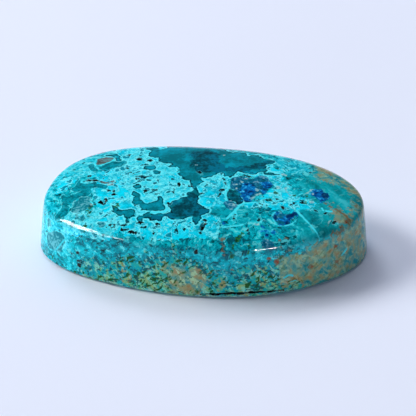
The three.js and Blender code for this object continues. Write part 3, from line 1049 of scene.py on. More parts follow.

# The holes, most of them in the crust, which get black painted shade.
HOLES = (
    Vein(Mineral.HOLE, ((0.7, -6.8), (0.45, -7.2), (0.4, -7.8), (0.3, -8.2)), 0.2, 0.25),
    Vein(Mineral.HOLE, ((0.6, -7), (0.6, -7.6)), 0.25),
    Vein(Mineral.HOLE, ((2.2, 1.8), (2.4, 1.3), (2.5, 0.7)), 0.22, 0.26),
    Vein(Mineral.HOLE, ((2.4, -0.1), (2.1, -0.8)), 0.18),
    Vein(Mineral.HOLE, ((1.8, -0.5), (1.9, -1), (1.9, -1.7)), 0.2, 0.28),
    Vein(Mineral.HOLE, ((4, 2.5), (4.5, 2.7), (5, 2.6), (5.4, 2.3)), 0.2, 0.14),
    Vein(Mineral.HOLE, ((-0.9, 3), (-0.5, 2.6)), 0.16),
    Vein(Mineral.HOLE, ((-2.5, -7.3), (-2.4, -8.5)), 0.2, 0.3),
    Vein(Mineral.HOLE, ((10.1, -2.3), (10.6, -1.9)), 0.2),
    Vein(Mineral.HOLE, ((9.2, -2.9), (9.3, -3.3), (9.7, -3.3), (9.8, -3.1)), 0.3, 0.2),
    Vein(Mineral.HOLE, ((6.3, -2.2), (6.9, -2.9)), 0.12),
    Vein(Mineral.HOLE, ((-7.8, -8.3), (-7, -8.4)), 0.08, 0.3),
    Vein(Mineral.HOLE, ((-7.8, 1.1), (-7.3, 0.6)), 0.14),
    Vein(Mineral.HOLE, ((-9.2, 1.8), (-8.8, 2.4), (-8.4, 2.2)), 0.12),
    Vein(Mineral.HOLE, ((-10.4, -7.6), (-9.9, -7.2)), 0.14),
    Vein(Mineral.HOLE, ((-9.7, -7.7), (-9.5, -7.3)), 0.14),
    Vein(Mineral.HOLE, ((3.9, -5.1), (3.9, -5.9)), 0.12),
    Vein(Mineral.HOLE, ((14.9, -4.4), (15.4, -4.3)), 0.15),
    Vein(Mineral.HOLE, ((-13.4, 0.7), (-12.7, 0.66), (-12, 0.4)), 0.12, 0.16),
    *spots(Mineral.HOLE, (
        (-8.3, -8, 0.8, 0.4, 0), (-8.4, -7.4, 0.6, 0.3, 0), (-6.7, -7.1, 0.6, 0.3, 0),
        (-6.2, -7.7, 0.6, 0.25, 10), (-4.6, -7.2, 0.6, 0.3, 0), (-1.7, -7.9, 0.25, 0.4, 0),
        (-4.9, -8.5, 0.4, 0.5, 0), (0.6, -6.2, 0.35, 0.25, 0), (-6.6, -1.4, 0.3, 0.9, 0),
        (-5.6, -1.1, 0.5, 0.3, 0),
        (-5.4, -1.9, 0.3, 0.25, 0), (-3.4, -1.5, 0.6, 0.2, -60), (-3.4, -0.9, 0.25, 0.2, 0),
        (-8.2, -3.4, 0.15, 0.6, 0), (-7.3, -4.2, 0.2, 0.4, 0), (-3.7, -3.5, 0.25, 0.3, 0),
        (-0.1, -1.4, 0.3, 0.2, 0), (-2.9, 0.2, 0.25, 0.6, 0), (-1.6, -0.1, 0.35, 0.3, 0),
        (-3.6, 1.2, 0.6, 0.15, -40), (-8, 5.3, 0.5, 0.6, 0), (-6.8, 5.1, 0.35, 0.5, 0),
        (-9.4, 6.3, 0.4, 0.3, 0), (-13.5, 1.6, 0.3, 0.5, 0), (-11.8, 1.7, 0.3, 0.2, 0),
        (-11.7, 1.1, 0.3, 0.2, 0), (-9.2, 3.2, 0.35, 0.3, 0), (-9.8, 0.8, 0.4, 0.2, 0),
        (-10.2, 0.1, 0.2, 0.2, 0), (-10.5, -0.4, 0.2, 0.2, 0), (-11.5, -3.6, 0.5, 0.3, 30),
        (-11.2, -3.9, 0.35, 0.3, 0), (-10.9, -3.3, 0.3, 0.6, -20), (-12, -4, 0.3, 0.25, 0),
        (-10.8, -1.4, 0.3, 0.25, 0), (-10.2, -1.5, 0.3, 0.5, 0), (-10.2, -2.1, 0.4, 0.25, 0),
        (2.1, -6.7, 0.25, 0.25, 0), (8.7, 1.3, 0.4, 0.35, 0), (8.5, -1.6, 0.3, 0.35, 0),
        (7.4, -1.9, 0.4, 0.3, 0), (7, -2.2, 0.2, 0.35, 0), (11.5, -1.9, 0.9, 0.3, -10),
        (11.3, -1.5, 0.35, 0.3, 0), (9.1, -3.7, 0.2, 0.2, 0), (5.6, -7.3, 0.4, 0.25, -30),
        (12, 5.8, 0.2, 0.5, 0), (12, 4.6, 0.15, 0.6, -20), (13, -3, 0.25, 0.15, 0),
        (14.2, -3.2, 0.3, 0.2, 0), (6.7, -5.4, 0.14, 0.7, 0), (0, -10.2, 0.3, 0.3, 0),
    )),
    *spots(Mineral.HOLE, (
        (-13.8, 2.2, 0.7, 0.25, 0), (-13.8, 1.6, 0.7, 0.25, 0), (-14.8, 2.6, 0.3, 0.3, 0),
        (-14.1, 3.2, 0.5, 0.15, 30),
    ), Chart.WALL),
)

MARKINGS = CRUSTS + POOLS + AZURITES + WINDOWS + MATRICES + LACES + HOLES
FAR_OUTSIDE = -3.0


def mark(stone: bpy.types.Object, skin: Skin, fissure: Fissure) -> None:
    """Stores how far each vertex is inside each mineral's markings, in millimetres.

    Args:
        stone: the finished mesh's object.
        skin: the stone's surface pressed flat.
        fissure: the crack, whose mouth gets the same black painted shade as the holes.
    """
    places = vertex_array(stone)
    flat = skin.flatten(places)
    crack = fissure.reach(skin.plan.bearing_of(places), places[:, 2])
    for mineral in Mineral:
        reach = np.full(len(flat), FAR_OUTSIDE)
        for marking in MARKINGS:
            if marking.mineral is mineral:
                reach = np.maximum(reach, marking.reach(flat, skin))
        # The crack's mouth joins the holes, so it is painted black: painted shade in the crack.
        if mineral is Mineral.HOLE:
            reach = np.maximum(reach, crack)
        attribute = stone.data.attributes.new(mineral.value, "FLOAT", "POINT")
        attribute.data.foreach_set("value", reach.astype(np.float32))


Socket = bpy.types.NodeSocket
Paint = tuple[float, float, float, float]
Stops = tuple[tuple[float, Paint], ...]


def linear_light(share: float) -> float:
    """A paint card's share of one colour, from 0 to 1, in linear light."""
    return share / 12.92 if share <= 0.04045 else ((share + 0.055) / 1.055) ** 2.4


def paint(red: int, green: int, blue: int) -> Paint:
    """A colour in linear light from its red, green and blue on a 0 to 255 paint card."""
    return (linear_light(red / 255), linear_light(green / 255), linear_light(blue / 255), 1.0)


class Number:
    """A number that changes over the surface: a socket whose arithmetic adds Math nodes."""

    def __init__(self, bench: "Bench", socket: Socket) -> None:
        """Wraps a socket of the bench's material."""
        self.bench = bench
        self.socket = socket

    def math(self, operation: str, *others: "Number | float") -> "Number":
        """Adds one Math node.

        Args:
            operation: what the node does.
            others: what this number is combined with.

        Returns:
            The node's result.
        """
        inputs = {i: other for i, other in enumerate((self, *others))}
        node = self.bench.node("ShaderNodeMath", {"operation": operation}, inputs)
        return Number(self.bench, node.outputs[0])

    def __add__(self, other: "Number | float") -> "Number":
        """This number plus another."""
        return self.math("ADD", other)

    __radd__ = __add__

    def __mul__(self, other: "Number | float") -> "Number":
        """This number times another."""
        return self.math("MULTIPLY", other)

    __rmul__ = __mul__

    def __sub__(self, other: "Number | float") -> "Number":
        """This number less another."""
        return self.math("SUBTRACT", other)

    def __rsub__(self, other: float) -> "Number":
        """Another number less this one."""
        return (self * -1.0) + other

    def __abs__(self) -> "Number":
        """This number without its sign."""
        return self.math("ABSOLUTE")

    def step(self, low: float, high: float) -> "Number":
        """A soft step between two values.

        Args:
            low: where the step is 0.
            high: where it is 1, and less than low for a step that falls.

        Returns:
            A number from 0 to 1, smooth between the two.
        """
        node = self.bench.node(
            "ShaderNodeMapRange",
            {"interpolation_type": "SMOOTHSTEP"},
            {"Value": self, "From Min": min(low, high), "From Max": max(low, high)},
        )
        rising = Number(self.bench, node.outputs["Result"])
        return rising if low <= high else 1 - rising

    def band(self, middle: float, half: float) -> "Number":
        """A soft line: 1 where this number is at the middle, falling to 0 half away on both sides."""
        return abs(self - middle).step(half, 0)


class Bench:
    """The workbench for one material: makes its nodes and links them."""

    def __init__(self, name: str) -> None:
        """Starts an empty material.

        Args:
            name: the material's name.
        """
        self.material = bpy.data.materials.new(name)
        self.material.use_nodes = True
        self.tree = self.material.node_tree
        self.tree.nodes.clear()
        coordinates = self.node("ShaderNodeTexCoord")
        self.place = self.vector("SCALE", coordinates.outputs["Object"], Scale=1 / MM)
        sides = self.node("ShaderNodeSeparateXYZ", None, {"Vector": self.place})
        self.east = Number(self, sides.outputs["X"])
        self.up = Number(self, sides.outputs["Z"])

    def node(self, kind: str, settings: dict | None = None, inputs: dict | None = None) -> bpy.types.Node:
        """Adds one node.

        Args:
            kind: the node's type.
            settings: its own settings, set first.
            inputs: values, sockets or numbers for its sockets, by name, identifier or place.

        Returns:
            The node.
        """
        node = self.tree.nodes.new(kind)
        for key, value in (settings or {}).items():
            if key == "stops":
                self.set_stops(node.color_ramp, value)
            else:
                setattr(node, key, value)
        for key, value in (inputs or {}).items():
            socket = self.find(node, key)
            if isinstance(value, Number):
                value = value.socket
            if isinstance(value, Socket):
                self.tree.links.new(value, socket)
            else:
                socket.default_value = value
        return node

    @staticmethod
    def find(node: bpy.types.Node, key: str | int) -> Socket:
        """Finds an input socket.

        Args:
            node: the node that has it.
            key: its identifier, its name, or its place in the row.

        Returns:
            The socket.
        """
        if isinstance(key, int):
            return node.inputs[key]
        named = [socket for socket in node.inputs if socket.identifier == key]
        return named[0] if named else node.inputs[key]

    @staticmethod
    def set_stops(ramp: bpy.types.ColorRamp, stops: Stops) -> None:
        """Gives a ramp its stops.

        Args:
            ramp: a fresh ramp, which has two.
            stops: the place and the colour of each.
        """
        while len(ramp.elements) < len(stops):
            ramp.elements.new(1.0)
        for element, (place, colour) in zip(ramp.elements, stops):
            element.position = place
            element.color = colour

    def vector(self, operation: str, *inputs: object, **named: object) -> Socket:
        """One Vector Math node's vector."""
        sockets = {**dict(enumerate(inputs)), **named}
        return self.node("ShaderNodeVectorMath", {"operation": operation}, sockets).outputs["Vector"]

    def mineral(self, mineral: Mineral) -> Number:
        """How far inside a mineral's markings the surface is, in millimetres."""
        node = self.node("ShaderNodeAttribute", {"attribute_name": mineral.value})
        return Number(self, node.outputs["Fac"])

    def pushed(self, scale: float, amount: float, shift: float = 0.0) -> Socket:
        """The place on the stone in millimetres, pushed about by noise.

        Args:
            scale: waves of the noise to the millimetre.
            amount: how far the noise pushes, in millimetres.
            shift: where in the noise to read.

        Returns:
            The pushed place.
        """
        noise = self.noise_node(scale, 3.0, 0.55, 0.0, self.moved(self.place, shift))
        push = self.vector("SUBTRACT", noise.outputs["Color"], (0.5, 0.5, 0.5))
        return self.vector("ADD", self.place, self.vector("SCALE", push, Scale=amount))

    def moved(self, place: Socket, shift: float) -> Socket:
        """A place moved aside, so that textures of one scale don't repeat each other."""
        return self.vector("ADD", place, (shift, shift * 0.7, shift * 1.3))

    def noise_node(
        self, scale: float, detail: float, rough: float, twist: float, place: Socket
    ) -> bpy.types.Node:
        """A noise texture's node."""
        inputs = {"Vector": place, "Scale": scale, "Detail": detail, "Roughness": rough, "Distortion": twist}
        return self.node("ShaderNodeTexNoise", {"noise_dimensions": "3D"}, inputs)

    def noise(
        self,
        scale: float,
        detail: float = 3.0,
        rough: float = 0.55,
        twist: float = 0.0,
        shift: float = 0.0,
        place: Socket | None = None,
    ) -> Number:
        """Cloudy noise centred on zero, of scale waves to the millimetre."""
        moved = self.moved(self.place if place is None else place, shift)
        return Number(self, self.noise_node(scale, detail, rough, twist, moved).outputs["Fac"]) - 0.5

    def strokes(
        self,
        scale: float,
        length: float,
        turn: tuple[float, float, float],
        shift: float,
        detail: float = 3.0,
    ) -> Number:
        """Noise drawn out into short strokes, centred on zero.

        Args:
            scale: waves to the millimetre across the strokes.
            length: how many times longer than wide the strokes are.
            turn: how the strokes are turned from +X, in radians about each axis.
            shift: where in the noise to read.
            detail: how many finer layers the noise has.

        Returns:
            The strokes.
        """
        push = self.pushed(0.9, 0.9, shift)
        drawn = self.node(
            "ShaderNodeMapping",
            {"vector_type": "TEXTURE"},
            {"Vector": push, "Rotation": turn, "Scale": (length, 1, 1)},
        ).outputs["Vector"]
        return self.noise(scale, detail, 0.55, shift=shift, place=drawn)

    def cells(self, scale: float, place: Socket) -> bpy.types.Node:
        """Scattered cells, scale of them to the millimetre, with their distances and tones."""
        settings = {"voronoi_dimensions": "3D", "feature": "F1"}
        return self.node("ShaderNodeTexVoronoi", settings, {"Vector": place, "Scale": scale})

    def ramp(self, number: Number, stops: Stops) -> Socket:
        """A colour that follows a number through some stops."""
        return self.node("ShaderNodeValToRGB", {"stops": stops}, {"Fac": number}).outputs["Color"]

    def blend(
        self,
        under: Socket | Paint,
        over: Socket | Paint,
        share: "Number | float",
        mode: str = "MIX",
    ) -> Socket:
        """One colour laid over another.

        Args:
            under: the colour below, a socket or a value.
            over: the colour above.
            share: how much of the colour above shows, from 0 to 1.
            mode: how the two combine.

        Returns:
            The mixed colour's socket.
        """
        node = self.node(
            "ShaderNodeMix",
            {"data_type": "RGBA", "blend_type": mode},
            {"Factor_Float": share, "A_Color": under, "B_Color": over},
        )
        return next(socket for socket in node.outputs if socket.identifier == "Result_Color")


@dataclass(frozen=True)
class Fields:
    """The slow and quick changes over the rock that its colours and ragged edges share.

    Drift is the slowest, ragged breaks up the edges of the markings, fine is the grain, lobes are
    rounded bulges, and pushed is the place on the stone with its straight lines bent.
    """

    drift: Number
    ragged: Number
    fine: Number
    lobes: Number
    pushed: Socket

    @classmethod
    def of(cls, bench: Bench) -> "Fields":
        """Makes the fields, each number centred on zero.

        Args:
            bench: the workbench of the stone's material.

        Returns:
            The fields.
        """
        pushed = bench.pushed(1.3, 1.1, shift=71)
        return cls(
            drift=bench.noise(0.42, 5, 0.58, twist=0.6, shift=11),
            ragged=bench.noise(1.5, 5, 0.6, shift=3),
            fine=bench.noise(3.4, 3, 0.6, shift=7),
            lobes=Number(bench, bench.cells(1.35, pushed).outputs["Distance"]) - 0.45,
            pushed=pushed,
        )


class Rock:
    """The stone's minerals, from the plain rock upwards, each laid over what is below it."""

    def __init__(self, bench: Bench) -> None:
        """Makes the fields, and the edges of the two minerals that also change the polish.

        Args:
            bench: the workbench of the stone's material.
        """
        self.bench = bench
        self.fields = Fields.of(bench)
        self.matrix_edge = self.edge(Mineral.MATRIX, drift=5, ragged=4, fine=1.5)
        self.hole_edge = self.edge(Mineral.HOLE, ragged=1.1, fine=0.9)

    def edge(self, mineral: Mineral, **shares: float) -> Number:
        """How far inside a mineral's markings the surface is, once the fields roughen their edges.

        Args:
            mineral: the mineral.
            shares: how much of each field is added, by the field's name.

        Returns:
            About millimetres, negative outside.
        """
        reach = self.bench.mineral(mineral)
        for field_name, share in shares.items():
            reach = reach + getattr(self.fields, field_name) * share
        return reach

    def ground(self) -> Socket:
        """The plain rock with its crusts, its matrix and its sandy quartz.

        Returns:
            The ground's colour.
        """
        blend = self.bench.blend
        crust = self.edge(Mineral.CRUST, ragged=2.6, lobes=0.3)
        colour = blend(self.feather(), self.crust(), crust.step(-0.06, 0.04))
        colour = blend(colour, self.matrix(), self.matrix_edge.step(-0.9, -0.6))
        sand = self.edge(Mineral.SAND, drift=3, ragged=4, fine=2)
        return blend(colour, self.sand(), sand.step(-0.4, 0.5) * 0.85)

    def lay_blades(self, under: Socket) -> Socket:
        """Lays on the teal blades, with broken pale rims, fainter at the right end.

        Args:
            under: the colour below.

        Returns:
            The colour with the blades in it.
        """
        ragged = self.fields.ragged
        blade = self.edge(Mineral.BLADE, ragged=1.2)
        faint = 1 - self.bench.east.step(0, 2.5) * 0.6
        rim = blade.band(-0.08, 0.1) * ragged.step(-0.1, 0.04)
        colour = self.bench.blend(under, paint(90, 234, 244), rim * faint * 0.8)
        shade = self.bench.ramp(ragged + self.fields.fine * 0.6 + 0.5, (
            (0.36, paint(0, 92, 104)), (0.5, paint(0, 124, 138)), (0.64, paint(0, 156, 172)),
        ))
        return self.bench.blend(colour, shade, blade.step(-0.03, 0.05) * faint * 0.9)

    def lay_pools(self, under: Socket) -> Socket:
        """Lays on the clear pools, with a pale lining outside and a black outline inside.

        Args:
            under: the colour below.

        Returns:
            The colour with the pools in it.
        """
        ragged = self.fields.ragged
        pool = self.edge(Mineral.POOL, lobes=0.35, ragged=0.8)
        lining = pool.band(-0.12, 0.15) * ragged.step(-0.2, -0.06)
        colour = self.bench.blend(under, paint(100, 238, 248), lining * 0.95)
        colour = self.bench.blend(colour, self.pool(), pool.step(-0.03, 0.03))
        outline = pool.band(0.11, 0.14) * ragged.step(-0.14, 0.02)
        return self.bench.blend(colour, paint(0, 16, 22), outline * 0.95)

    def lay_blues(self, under: Socket) -> Socket:
        """Lays on the slate blue rock and the azurite.

        Args:
            under: the colour below.

        Returns:
            The colour with the blues in it.
        """
        slate = self.edge(Mineral.SLATE, ragged=0.8)
        colour = self.bench.blend(under, self.slate(), slate.step(-0.06, 0.1) * 0.9)
        azurite = self.edge(Mineral.AZURITE, ragged=1.8, lobes=0.3)
        return self.bench.blend(colour, self.azurite(), azurite.step(-0.06, 0.06))

    def lay_spots(self, under: Socket) -> Socket:
        """Lays on the clear windows, the rust and the malachite.

        Args:
            under: the colour below.

        Returns:
            The colour with the spots in it.
        """
        colour = self.lay_window(under, Mineral.GLASS, (
            (0.4, paint(10, 120, 136)), (0.5, paint(40, 152, 164)), (0.6, paint(90, 180, 192)),
        ))
        colour = self.lay_window(colour, Mineral.QUARTZ, (
            (0.4, paint(70, 84, 84)), (0.52, paint(104, 112, 112)), (0.62, paint(84, 146, 150)),
        ))
        colour = self.lay_stain(colour, Mineral.RUST, (
            (0.42, paint(112, 88, 54)), (0.56, paint(112, 118, 92)),
        ), paint(150, 54, 0))
        return self.lay_stain(colour, Mineral.MALACHITE, (
            (0.42, paint(4, 44, 6)), (0.58, paint(40, 116, 14)),
        ), paint(4, 36, 4))

    def lay_window(self, under: Socket, mineral: Mineral, stops: Stops) -> Socket:
        """Lays on clear spots of one mineral, in broken pale rings.

        Args:
            under: the colour below.
            mineral: the clear mineral.
            stops: its colours.

        Returns:
            The colour with the windows in it.
        """
        reach = self.edge(mineral, ragged=1)
        rim = reach.band(-0.08, 0.1) * self.fields.ragged.step(-0.1, 0.06)
        ringed = self.bench.blend(under, paint(120, 232, 238), rim * 0.7)
        clear = self.bench.ramp(self.fields.drift + self.fields.fine + 0.5, stops)
        return self.bench.blend(ringed, clear, reach.step(-0.02, 0.05))

    def lay_stain(self, under: Socket, mineral: Mineral, stops: Stops, heart: Paint) -> Socket:
        """Lays on stains of one mineral.

        Args:
            under: the colour below.
            mineral: the mineral that stains.
            stops: its colours.
            heart: its colour where a stain is widest.

        Returns:
            The colour with the stains in it.
        """
        reach = self.edge(mineral, ragged=1.4, fine=0.6)
        plain = self.bench.ramp(self.fields.fine + 0.5, stops)
        stained = self.bench.blend(plain, heart, reach.step(0.18, 0.28))
        return self.bench.blend(under, stained, reach.step(-0.05, 0.08) * 0.88)

    def paint_light_on_wall(self, under: Socket) -> Socket:
        """Paints light on the wall: lightens its colour, and most of all at its left end, as painted light.

        Args:
            under: the colour below.

        Returns:
            The colour with the painted light on the wall.
        """
        # Painted light: below the shoulder the colour is multiplied up, most of all at the left end.
        wall = self.bench.up.step(6.4, 5.6) * (0.6 + self.bench.east.step(-10, -16) * 0.25)
        return self.bench.blend(under, (1.4, 1.4, 1.4, 1), wall, "MULTIPLY")

    def lay_frost_and_lace(self, under: Socket) -> Socket:
        """Lays on the pale frost along the girdle and the bright cyan lace.

        Args:
            under: the colour below.

        Returns:
            The colour with both in it.
        """
        frost = self.edge(Mineral.FROST, ragged=0.7)
        pale = self.bench.ramp(self.fields.fine + 0.5, (
            (0.4, paint(90, 160, 180)), (0.5, paint(130, 196, 206)), (0.6, paint(176, 216, 190)),
        ))
        colour = self.bench.blend(under, pale, frost.step(-0.05, 0.08) * 0.85)
        lace = self.edge(Mineral.LACE, ragged=0.35) + 0.03
        return self.bench.blend(colour, paint(64, 230, 244), lace.step(-0.05, 0.05) * 0.92)

    def lay_hole_shade(self, under: Socket) -> Socket:
        """Lays black painted shade in the holes and the crack, with faint pale rims.

        Args:
            under: the colour below.

        Returns:
            The colour with the painted shade of the holes in it.
        """
        hole = self.hole_edge
        rimmed = self.bench.blend(under, paint(110, 240, 250), hole.band(-0.09, 0.09) * 0.35)
        # Painted shade: black where the holes and the crack sink in.
        return self.bench.blend(rimmed, paint(0, 10, 12), hole.step(-0.04, 0.02))

    def feather(self) -> Socket:
        """The plain turquoise of the rock: streaked blades, and a smoother flow at the right end.

        Returns:
            Its colour.
        """
        bench = self.bench
        drift = self.fields.drift
        pushed = bench.pushed(0.7, 2.0, shift=83)
        tone = Number(bench, bench.cells(0.55, pushed).outputs["Color"])
        turned = bench.node(
            "ShaderNodeVectorRotate",
            {"rotation_type": "Z_AXIS"},
            {"Vector": self.fields.pushed, "Angle": tone * 9},
        ).outputs["Vector"]
        grain = bench.vector("MULTIPLY", turned, (0.5, 1.9, 1.3))
        streak = bench.noise(1.1, 6, 0.72, shift=17, place=grain)
        shade = streak * 1.9 + (tone - 0.5) * 0.2 + drift * 0.3 + 0.5
        colour = bench.ramp(shade, (
            (0.26, paint(0, 84, 100)), (0.38, paint(0, 132, 148)), (0.48, paint(0, 164, 178)),
            (0.58, paint(0, 186, 200)), (0.7, paint(30, 208, 218)), (0.84, paint(110, 226, 224)),
        ))
        pale = self.edge(Mineral.PALE, ragged=4)
        light = bench.ramp(streak * 1.5 + 0.5, (
            (0.3, paint(0, 130, 148)), (0.42, paint(0, 178, 200)), (0.54, paint(30, 208, 226)),
            (0.66, paint(120, 232, 238)),
        ))
        colour = bench.blend(colour, light, pale.step(-0.5, 0.5) * 0.9)
        flow = bench.strokes(0.62, 3.2, (0, 0, -0.9), 101, 6)
        smooth = bench.ramp(flow * 1.3 + 0.5, (
            (0.3, paint(0, 116, 122)), (0.44, paint(0, 148, 154)), (0.56, paint(10, 174, 184)),
            (0.7, paint(60, 194, 202)),
        ))
        calm = (bench.east + drift * 8).step(10.5, 13)
        colour = bench.blend(colour, smooth, calm * 0.85)
        wild = 1 - calm * 0.7
        wisp = bench.strokes(1.7, 2.6, (0, 0.5, 0.7), 19, 3)
        colour = bench.blend(colour, paint(90, 220, 224), wisp.step(0.1, 0.125) * wild * 0.8)
        slit = bench.strokes(1.7, 2.6, (0, -0.6, -0.5), 67, 3)
        colour = bench.blend(colour, paint(0, 90, 98), slit.step(0.105, 0.13) * wild * 0.9)
        return bench.blend(colour, paint(0, 24, 20), slit.step(0.18, 0.2) * wild * 0.9)

    def crease(self, under: Socket, lines: Number, share: Number) -> Socket:
        """Draws thin dark lines with pale edges where a number crosses zero.

        Args:
            under: the colour below.
            lines: the number.
            share: how strong the lines are, from 0 to 1.

        Returns:
            The creased colour.
        """
        edged = self.bench.blend(under, paint(90, 236, 248), lines.band(0.06, 0.03) * share)
        return self.bench.blend(edged, paint(0, 110, 130), lines.band(0, 0.03) * share)

    def crust(self) -> Socket:
        """The bright lacy crust: flat cyan, pale blotches in it, and teal specks and creases.

        Returns:
            Its colour.
        """
        bench = self.bench
        ragged = self.fields.ragged
        pale = bench.mineral(Mineral.PALE).step(-0.8, 0.8)
        blotch = bench.noise(0.8, 3.5, 0.62, twist=0.6, shift=23) + pale * 0.13 - 0.06
        colour = bench.ramp(ragged * 0.9 + self.fields.drift * 0.9 + 0.5, (
            (0.36, paint(0, 178, 202)), (0.46, paint(0, 208, 232)), (0.58, paint(0, 224, 248)),
        ))
        light = bench.ramp(ragged * 1.2 + self.fields.fine * 0.4 + 0.5, (
            (0.34, paint(0, 200, 222)), (0.5, paint(66, 222, 236)), (0.66, paint(120, 240, 246)),
        ))
        colour = bench.blend(colour, light, blotch.step(-0.005, 0.01))
        colour = bench.blend(colour, paint(120, 246, 252), blotch.band(0.016, 0.02) * 0.8)
        colour = bench.blend(colour, paint(0, 150, 172), blotch.band(-0.016, 0.018) * 0.7)
        colour = self.crease(colour, bench.strokes(0.9, 1.5, (0, 0, 0.4), 43, 4), pale * 0.25 + 0.2)
        teal = bench.noise(0.8, 4, 0.6, shift=37)
        colour = bench.blend(colour, paint(120, 242, 250), teal.band(0.1, 0.03) * 0.9)
        colour = bench.blend(colour, paint(0, 136, 158), teal.step(0.115, 0.13) * 0.95)
        speck = bench.strokes(1.3, 1.8, (0, 0, 0.5), 29) + pale * 0.02 - 0.03
        colour = bench.blend(colour, paint(120, 246, 252), speck.band(0.095, 0.03) * 0.7)
        colour = bench.blend(colour, paint(0, 104, 122), speck.step(0.115, 0.13) * 0.95)
        return bench.blend(colour, paint(0, 14, 18), speck.step(0.175, 0.19) * 0.95)

    def matrix(self) -> Socket:
        """The speckled matrix: sea green, with pale, green and tan flakes.

        Returns:
            Its colour.
        """
        bench = self.bench
        deeper = self.matrix_edge.step(-1, 3)
        tone = bench.strokes(1.6, 1.7, (0, 0.9, 0.3), 41, 5) * 2 + deeper * 0.28 + 0.32
        colour = bench.ramp(tone, (
            (0.16, paint(0, 96, 108)), (0.3, paint(0, 144, 162)), (0.42, paint(0, 172, 180)),
            (0.54, paint(40, 168, 150)), (0.66, paint(100, 174, 128)), (0.8, paint(140, 180, 122)),
        ))
        tan = bench.noise(0.75, 4, 0.6, shift=79) + deeper * 0.07
        colour = bench.blend(colour, paint(150, 140, 70), tan.step(0.15, 0.19) * 0.8)
        rising = bench.strokes(2.6, 2.6, (0, 0.9, 0), 47)
        colour = bench.blend(colour, paint(120, 204, 186), rising.step(0.06, 0.08) * 0.85)
        falling = bench.strokes(2.2, 2.8, (0, -0.7, 0), 61) + deeper * 0.035
        colour = bench.blend(colour, paint(10, 76, 4), falling.step(0.085, 0.105) * 0.95)
        level = bench.strokes(2.4, 2.6, (0, 0.2, 0.4), 107)
        return bench.blend(colour, paint(0, 78, 84), level.step(0.08, 0.1) * 0.9)

    def sand(self) -> Socket:
        """The sandy, olive stained quartz, in fine strokes that are fainter at the right end.

        Returns:
            Its colour.
        """
        bench = self.bench
        tone = bench.strokes(1.1, 2.0, (0, 0.5, -0.7), 53, 6) * 1.8 + 0.5
        colour = bench.ramp(tone, (
            (0.26, paint(20, 128, 138)), (0.38, paint(84, 150, 146)), (0.5, paint(118, 154, 130)),
            (0.62, paint(146, 152, 112)), (0.76, paint(160, 130, 88)),
        ))
        calm = bench.east.step(7, 11)
        pale = bench.strokes(2.2, 2.6, (0, 0.7, 0.5), 89)
        colour = bench.blend(colour, paint(176, 208, 164), pale.step(0.06, 0.09) * (1 - calm * 0.5) * 0.85)
        green = bench.strokes(2.2, 2.8, (0, -0.8, 0.3), 97)
        return bench.blend(colour, paint(24, 84, 14), green.step(0.08, 0.11) * (1 - calm * 0.6) * 0.9)

    def pool(self) -> Socket:
        """The clear teal of the pools, darker where they are deep.

        Returns:
            Its colour.
        """
        bench = self.bench
        ragged, fine = self.fields.ragged, self.fields.fine
        deep = self.edge(Mineral.DEEP, ragged=3, drift=1.5)
        cloud = bench.noise(0.5, 4, 0.55, twist=0.4, shift=59) + 0.5
        clear = bench.ramp(cloud + ragged * 0.7 + fine * 0.3, (
            (0.35, paint(0, 110, 122)), (0.5, paint(0, 134, 150)), (0.65, paint(0, 156, 178)),
        ))
        dark = bench.ramp(cloud + ragged * 0.8 + fine * 0.6, (
            (0.35, paint(0, 60, 72)), (0.5, paint(0, 84, 98)), (0.64, paint(0, 112, 138)),
        ))
        return bench.blend(clear, dark, deep.step(-0.1, 0.1))

    def slate(self) -> Socket:
        """The cloudy slate blue rock that the azurite grows in.

        Returns:
            Its colour.
        """
        return self.bench.ramp(self.fields.ragged * 1.3 + self.fields.fine * 0.9 + 0.5, (
            (0.28, paint(0, 52, 76)), (0.44, paint(0, 88, 124)), (0.58, paint(16, 116, 150)),
            (0.74, paint(110, 168, 190)),
        ))

    def azurite(self) -> Socket:
        """Deep blue azurite, with indigo hearts and bright blue and cyan flecks.

        Returns:
            Its colour.
        """
        facet = Number(self.bench, self.bench.cells(1.9, self.fields.pushed).outputs["Color"])
        tone = facet * 0.3 + self.fields.ragged * 1.6 + self.fields.fine * 0.8 + 0.35
        colour = self.bench.ramp(tone, (
            (0.24, paint(0, 44, 88)), (0.4, paint(0, 74, 140)), (0.54, paint(0, 102, 174)),
            (0.66, paint(0, 144, 208)), (0.76, paint(60, 190, 226)),
        ))
        indigo = self.edge(Mineral.INDIGO, ragged=1.4, fine=0.5)
        return self.bench.blend(colour, paint(0, 30, 72), indigo.step(-0.06, 0.08) * 0.85)


@dataclass(frozen=True)
class StoneFinish:
    """The polished rock: turquoise crusts and teal pools, azurite, and a sandy green matrix."""

    name: str = "azurite_chrysocolla"
    light_bending: float = 1.54
    shine: float = 0.13
    roughness: float = 0.05
    rougher_matrix: float = 0.04
    rougher_holes: float = 0.3
    waviness: float = 0.5
    hole_depth: float = 0.4
    relief: float = 0.1
    relief_depth: float = 0.0001

    def make(self) -> bpy.types.Material:
        """Builds the material.

        Returns:
            The material.
        """
        bench = Bench(self.name)
        rock = Rock(bench)
        colour = rock.ground()
        for lay in (
            rock.lay_blades,
            rock.lay_pools,
            rock.lay_blues,
            rock.lay_spots,
            # painted light on the wall
            rock.paint_light_on_wall,
            rock.lay_frost_and_lace,
            # painted shade in the holes and the crack
            rock.lay_hole_shade,
        ):
            colour = lay(colour)
        hole = rock.hole_edge
        waves = bench.noise(0.5, 2, 0.5, shift=31) * self.waviness
        height = waves - hole.step(-0.05, 0.08) * self.hole_depth
        bump = bench.node("ShaderNodeBump", None, {
            "Height": height, "Strength": self.relief, "Distance": self.relief_depth,
        })
        rougher = rock.matrix_edge.step(-0.5, 0.5) * self.rougher_matrix
        rough = rougher + hole.step(-0.03, 0.05) * self.rougher_holes + self.roughness
        shader = bench.node("ShaderNodeBsdfPrincipled", None, {
            "Base Color": colour,
            "Roughness": rough,
            "IOR": self.light_bending,
            "Specular IOR Level": self.shine,
            "Normal": bump.outputs["Normal"],
        })
        bench.node("ShaderNodeOutputMaterial", None, {"Surface": shader.outputs["BSDF"]})
        return bench.material


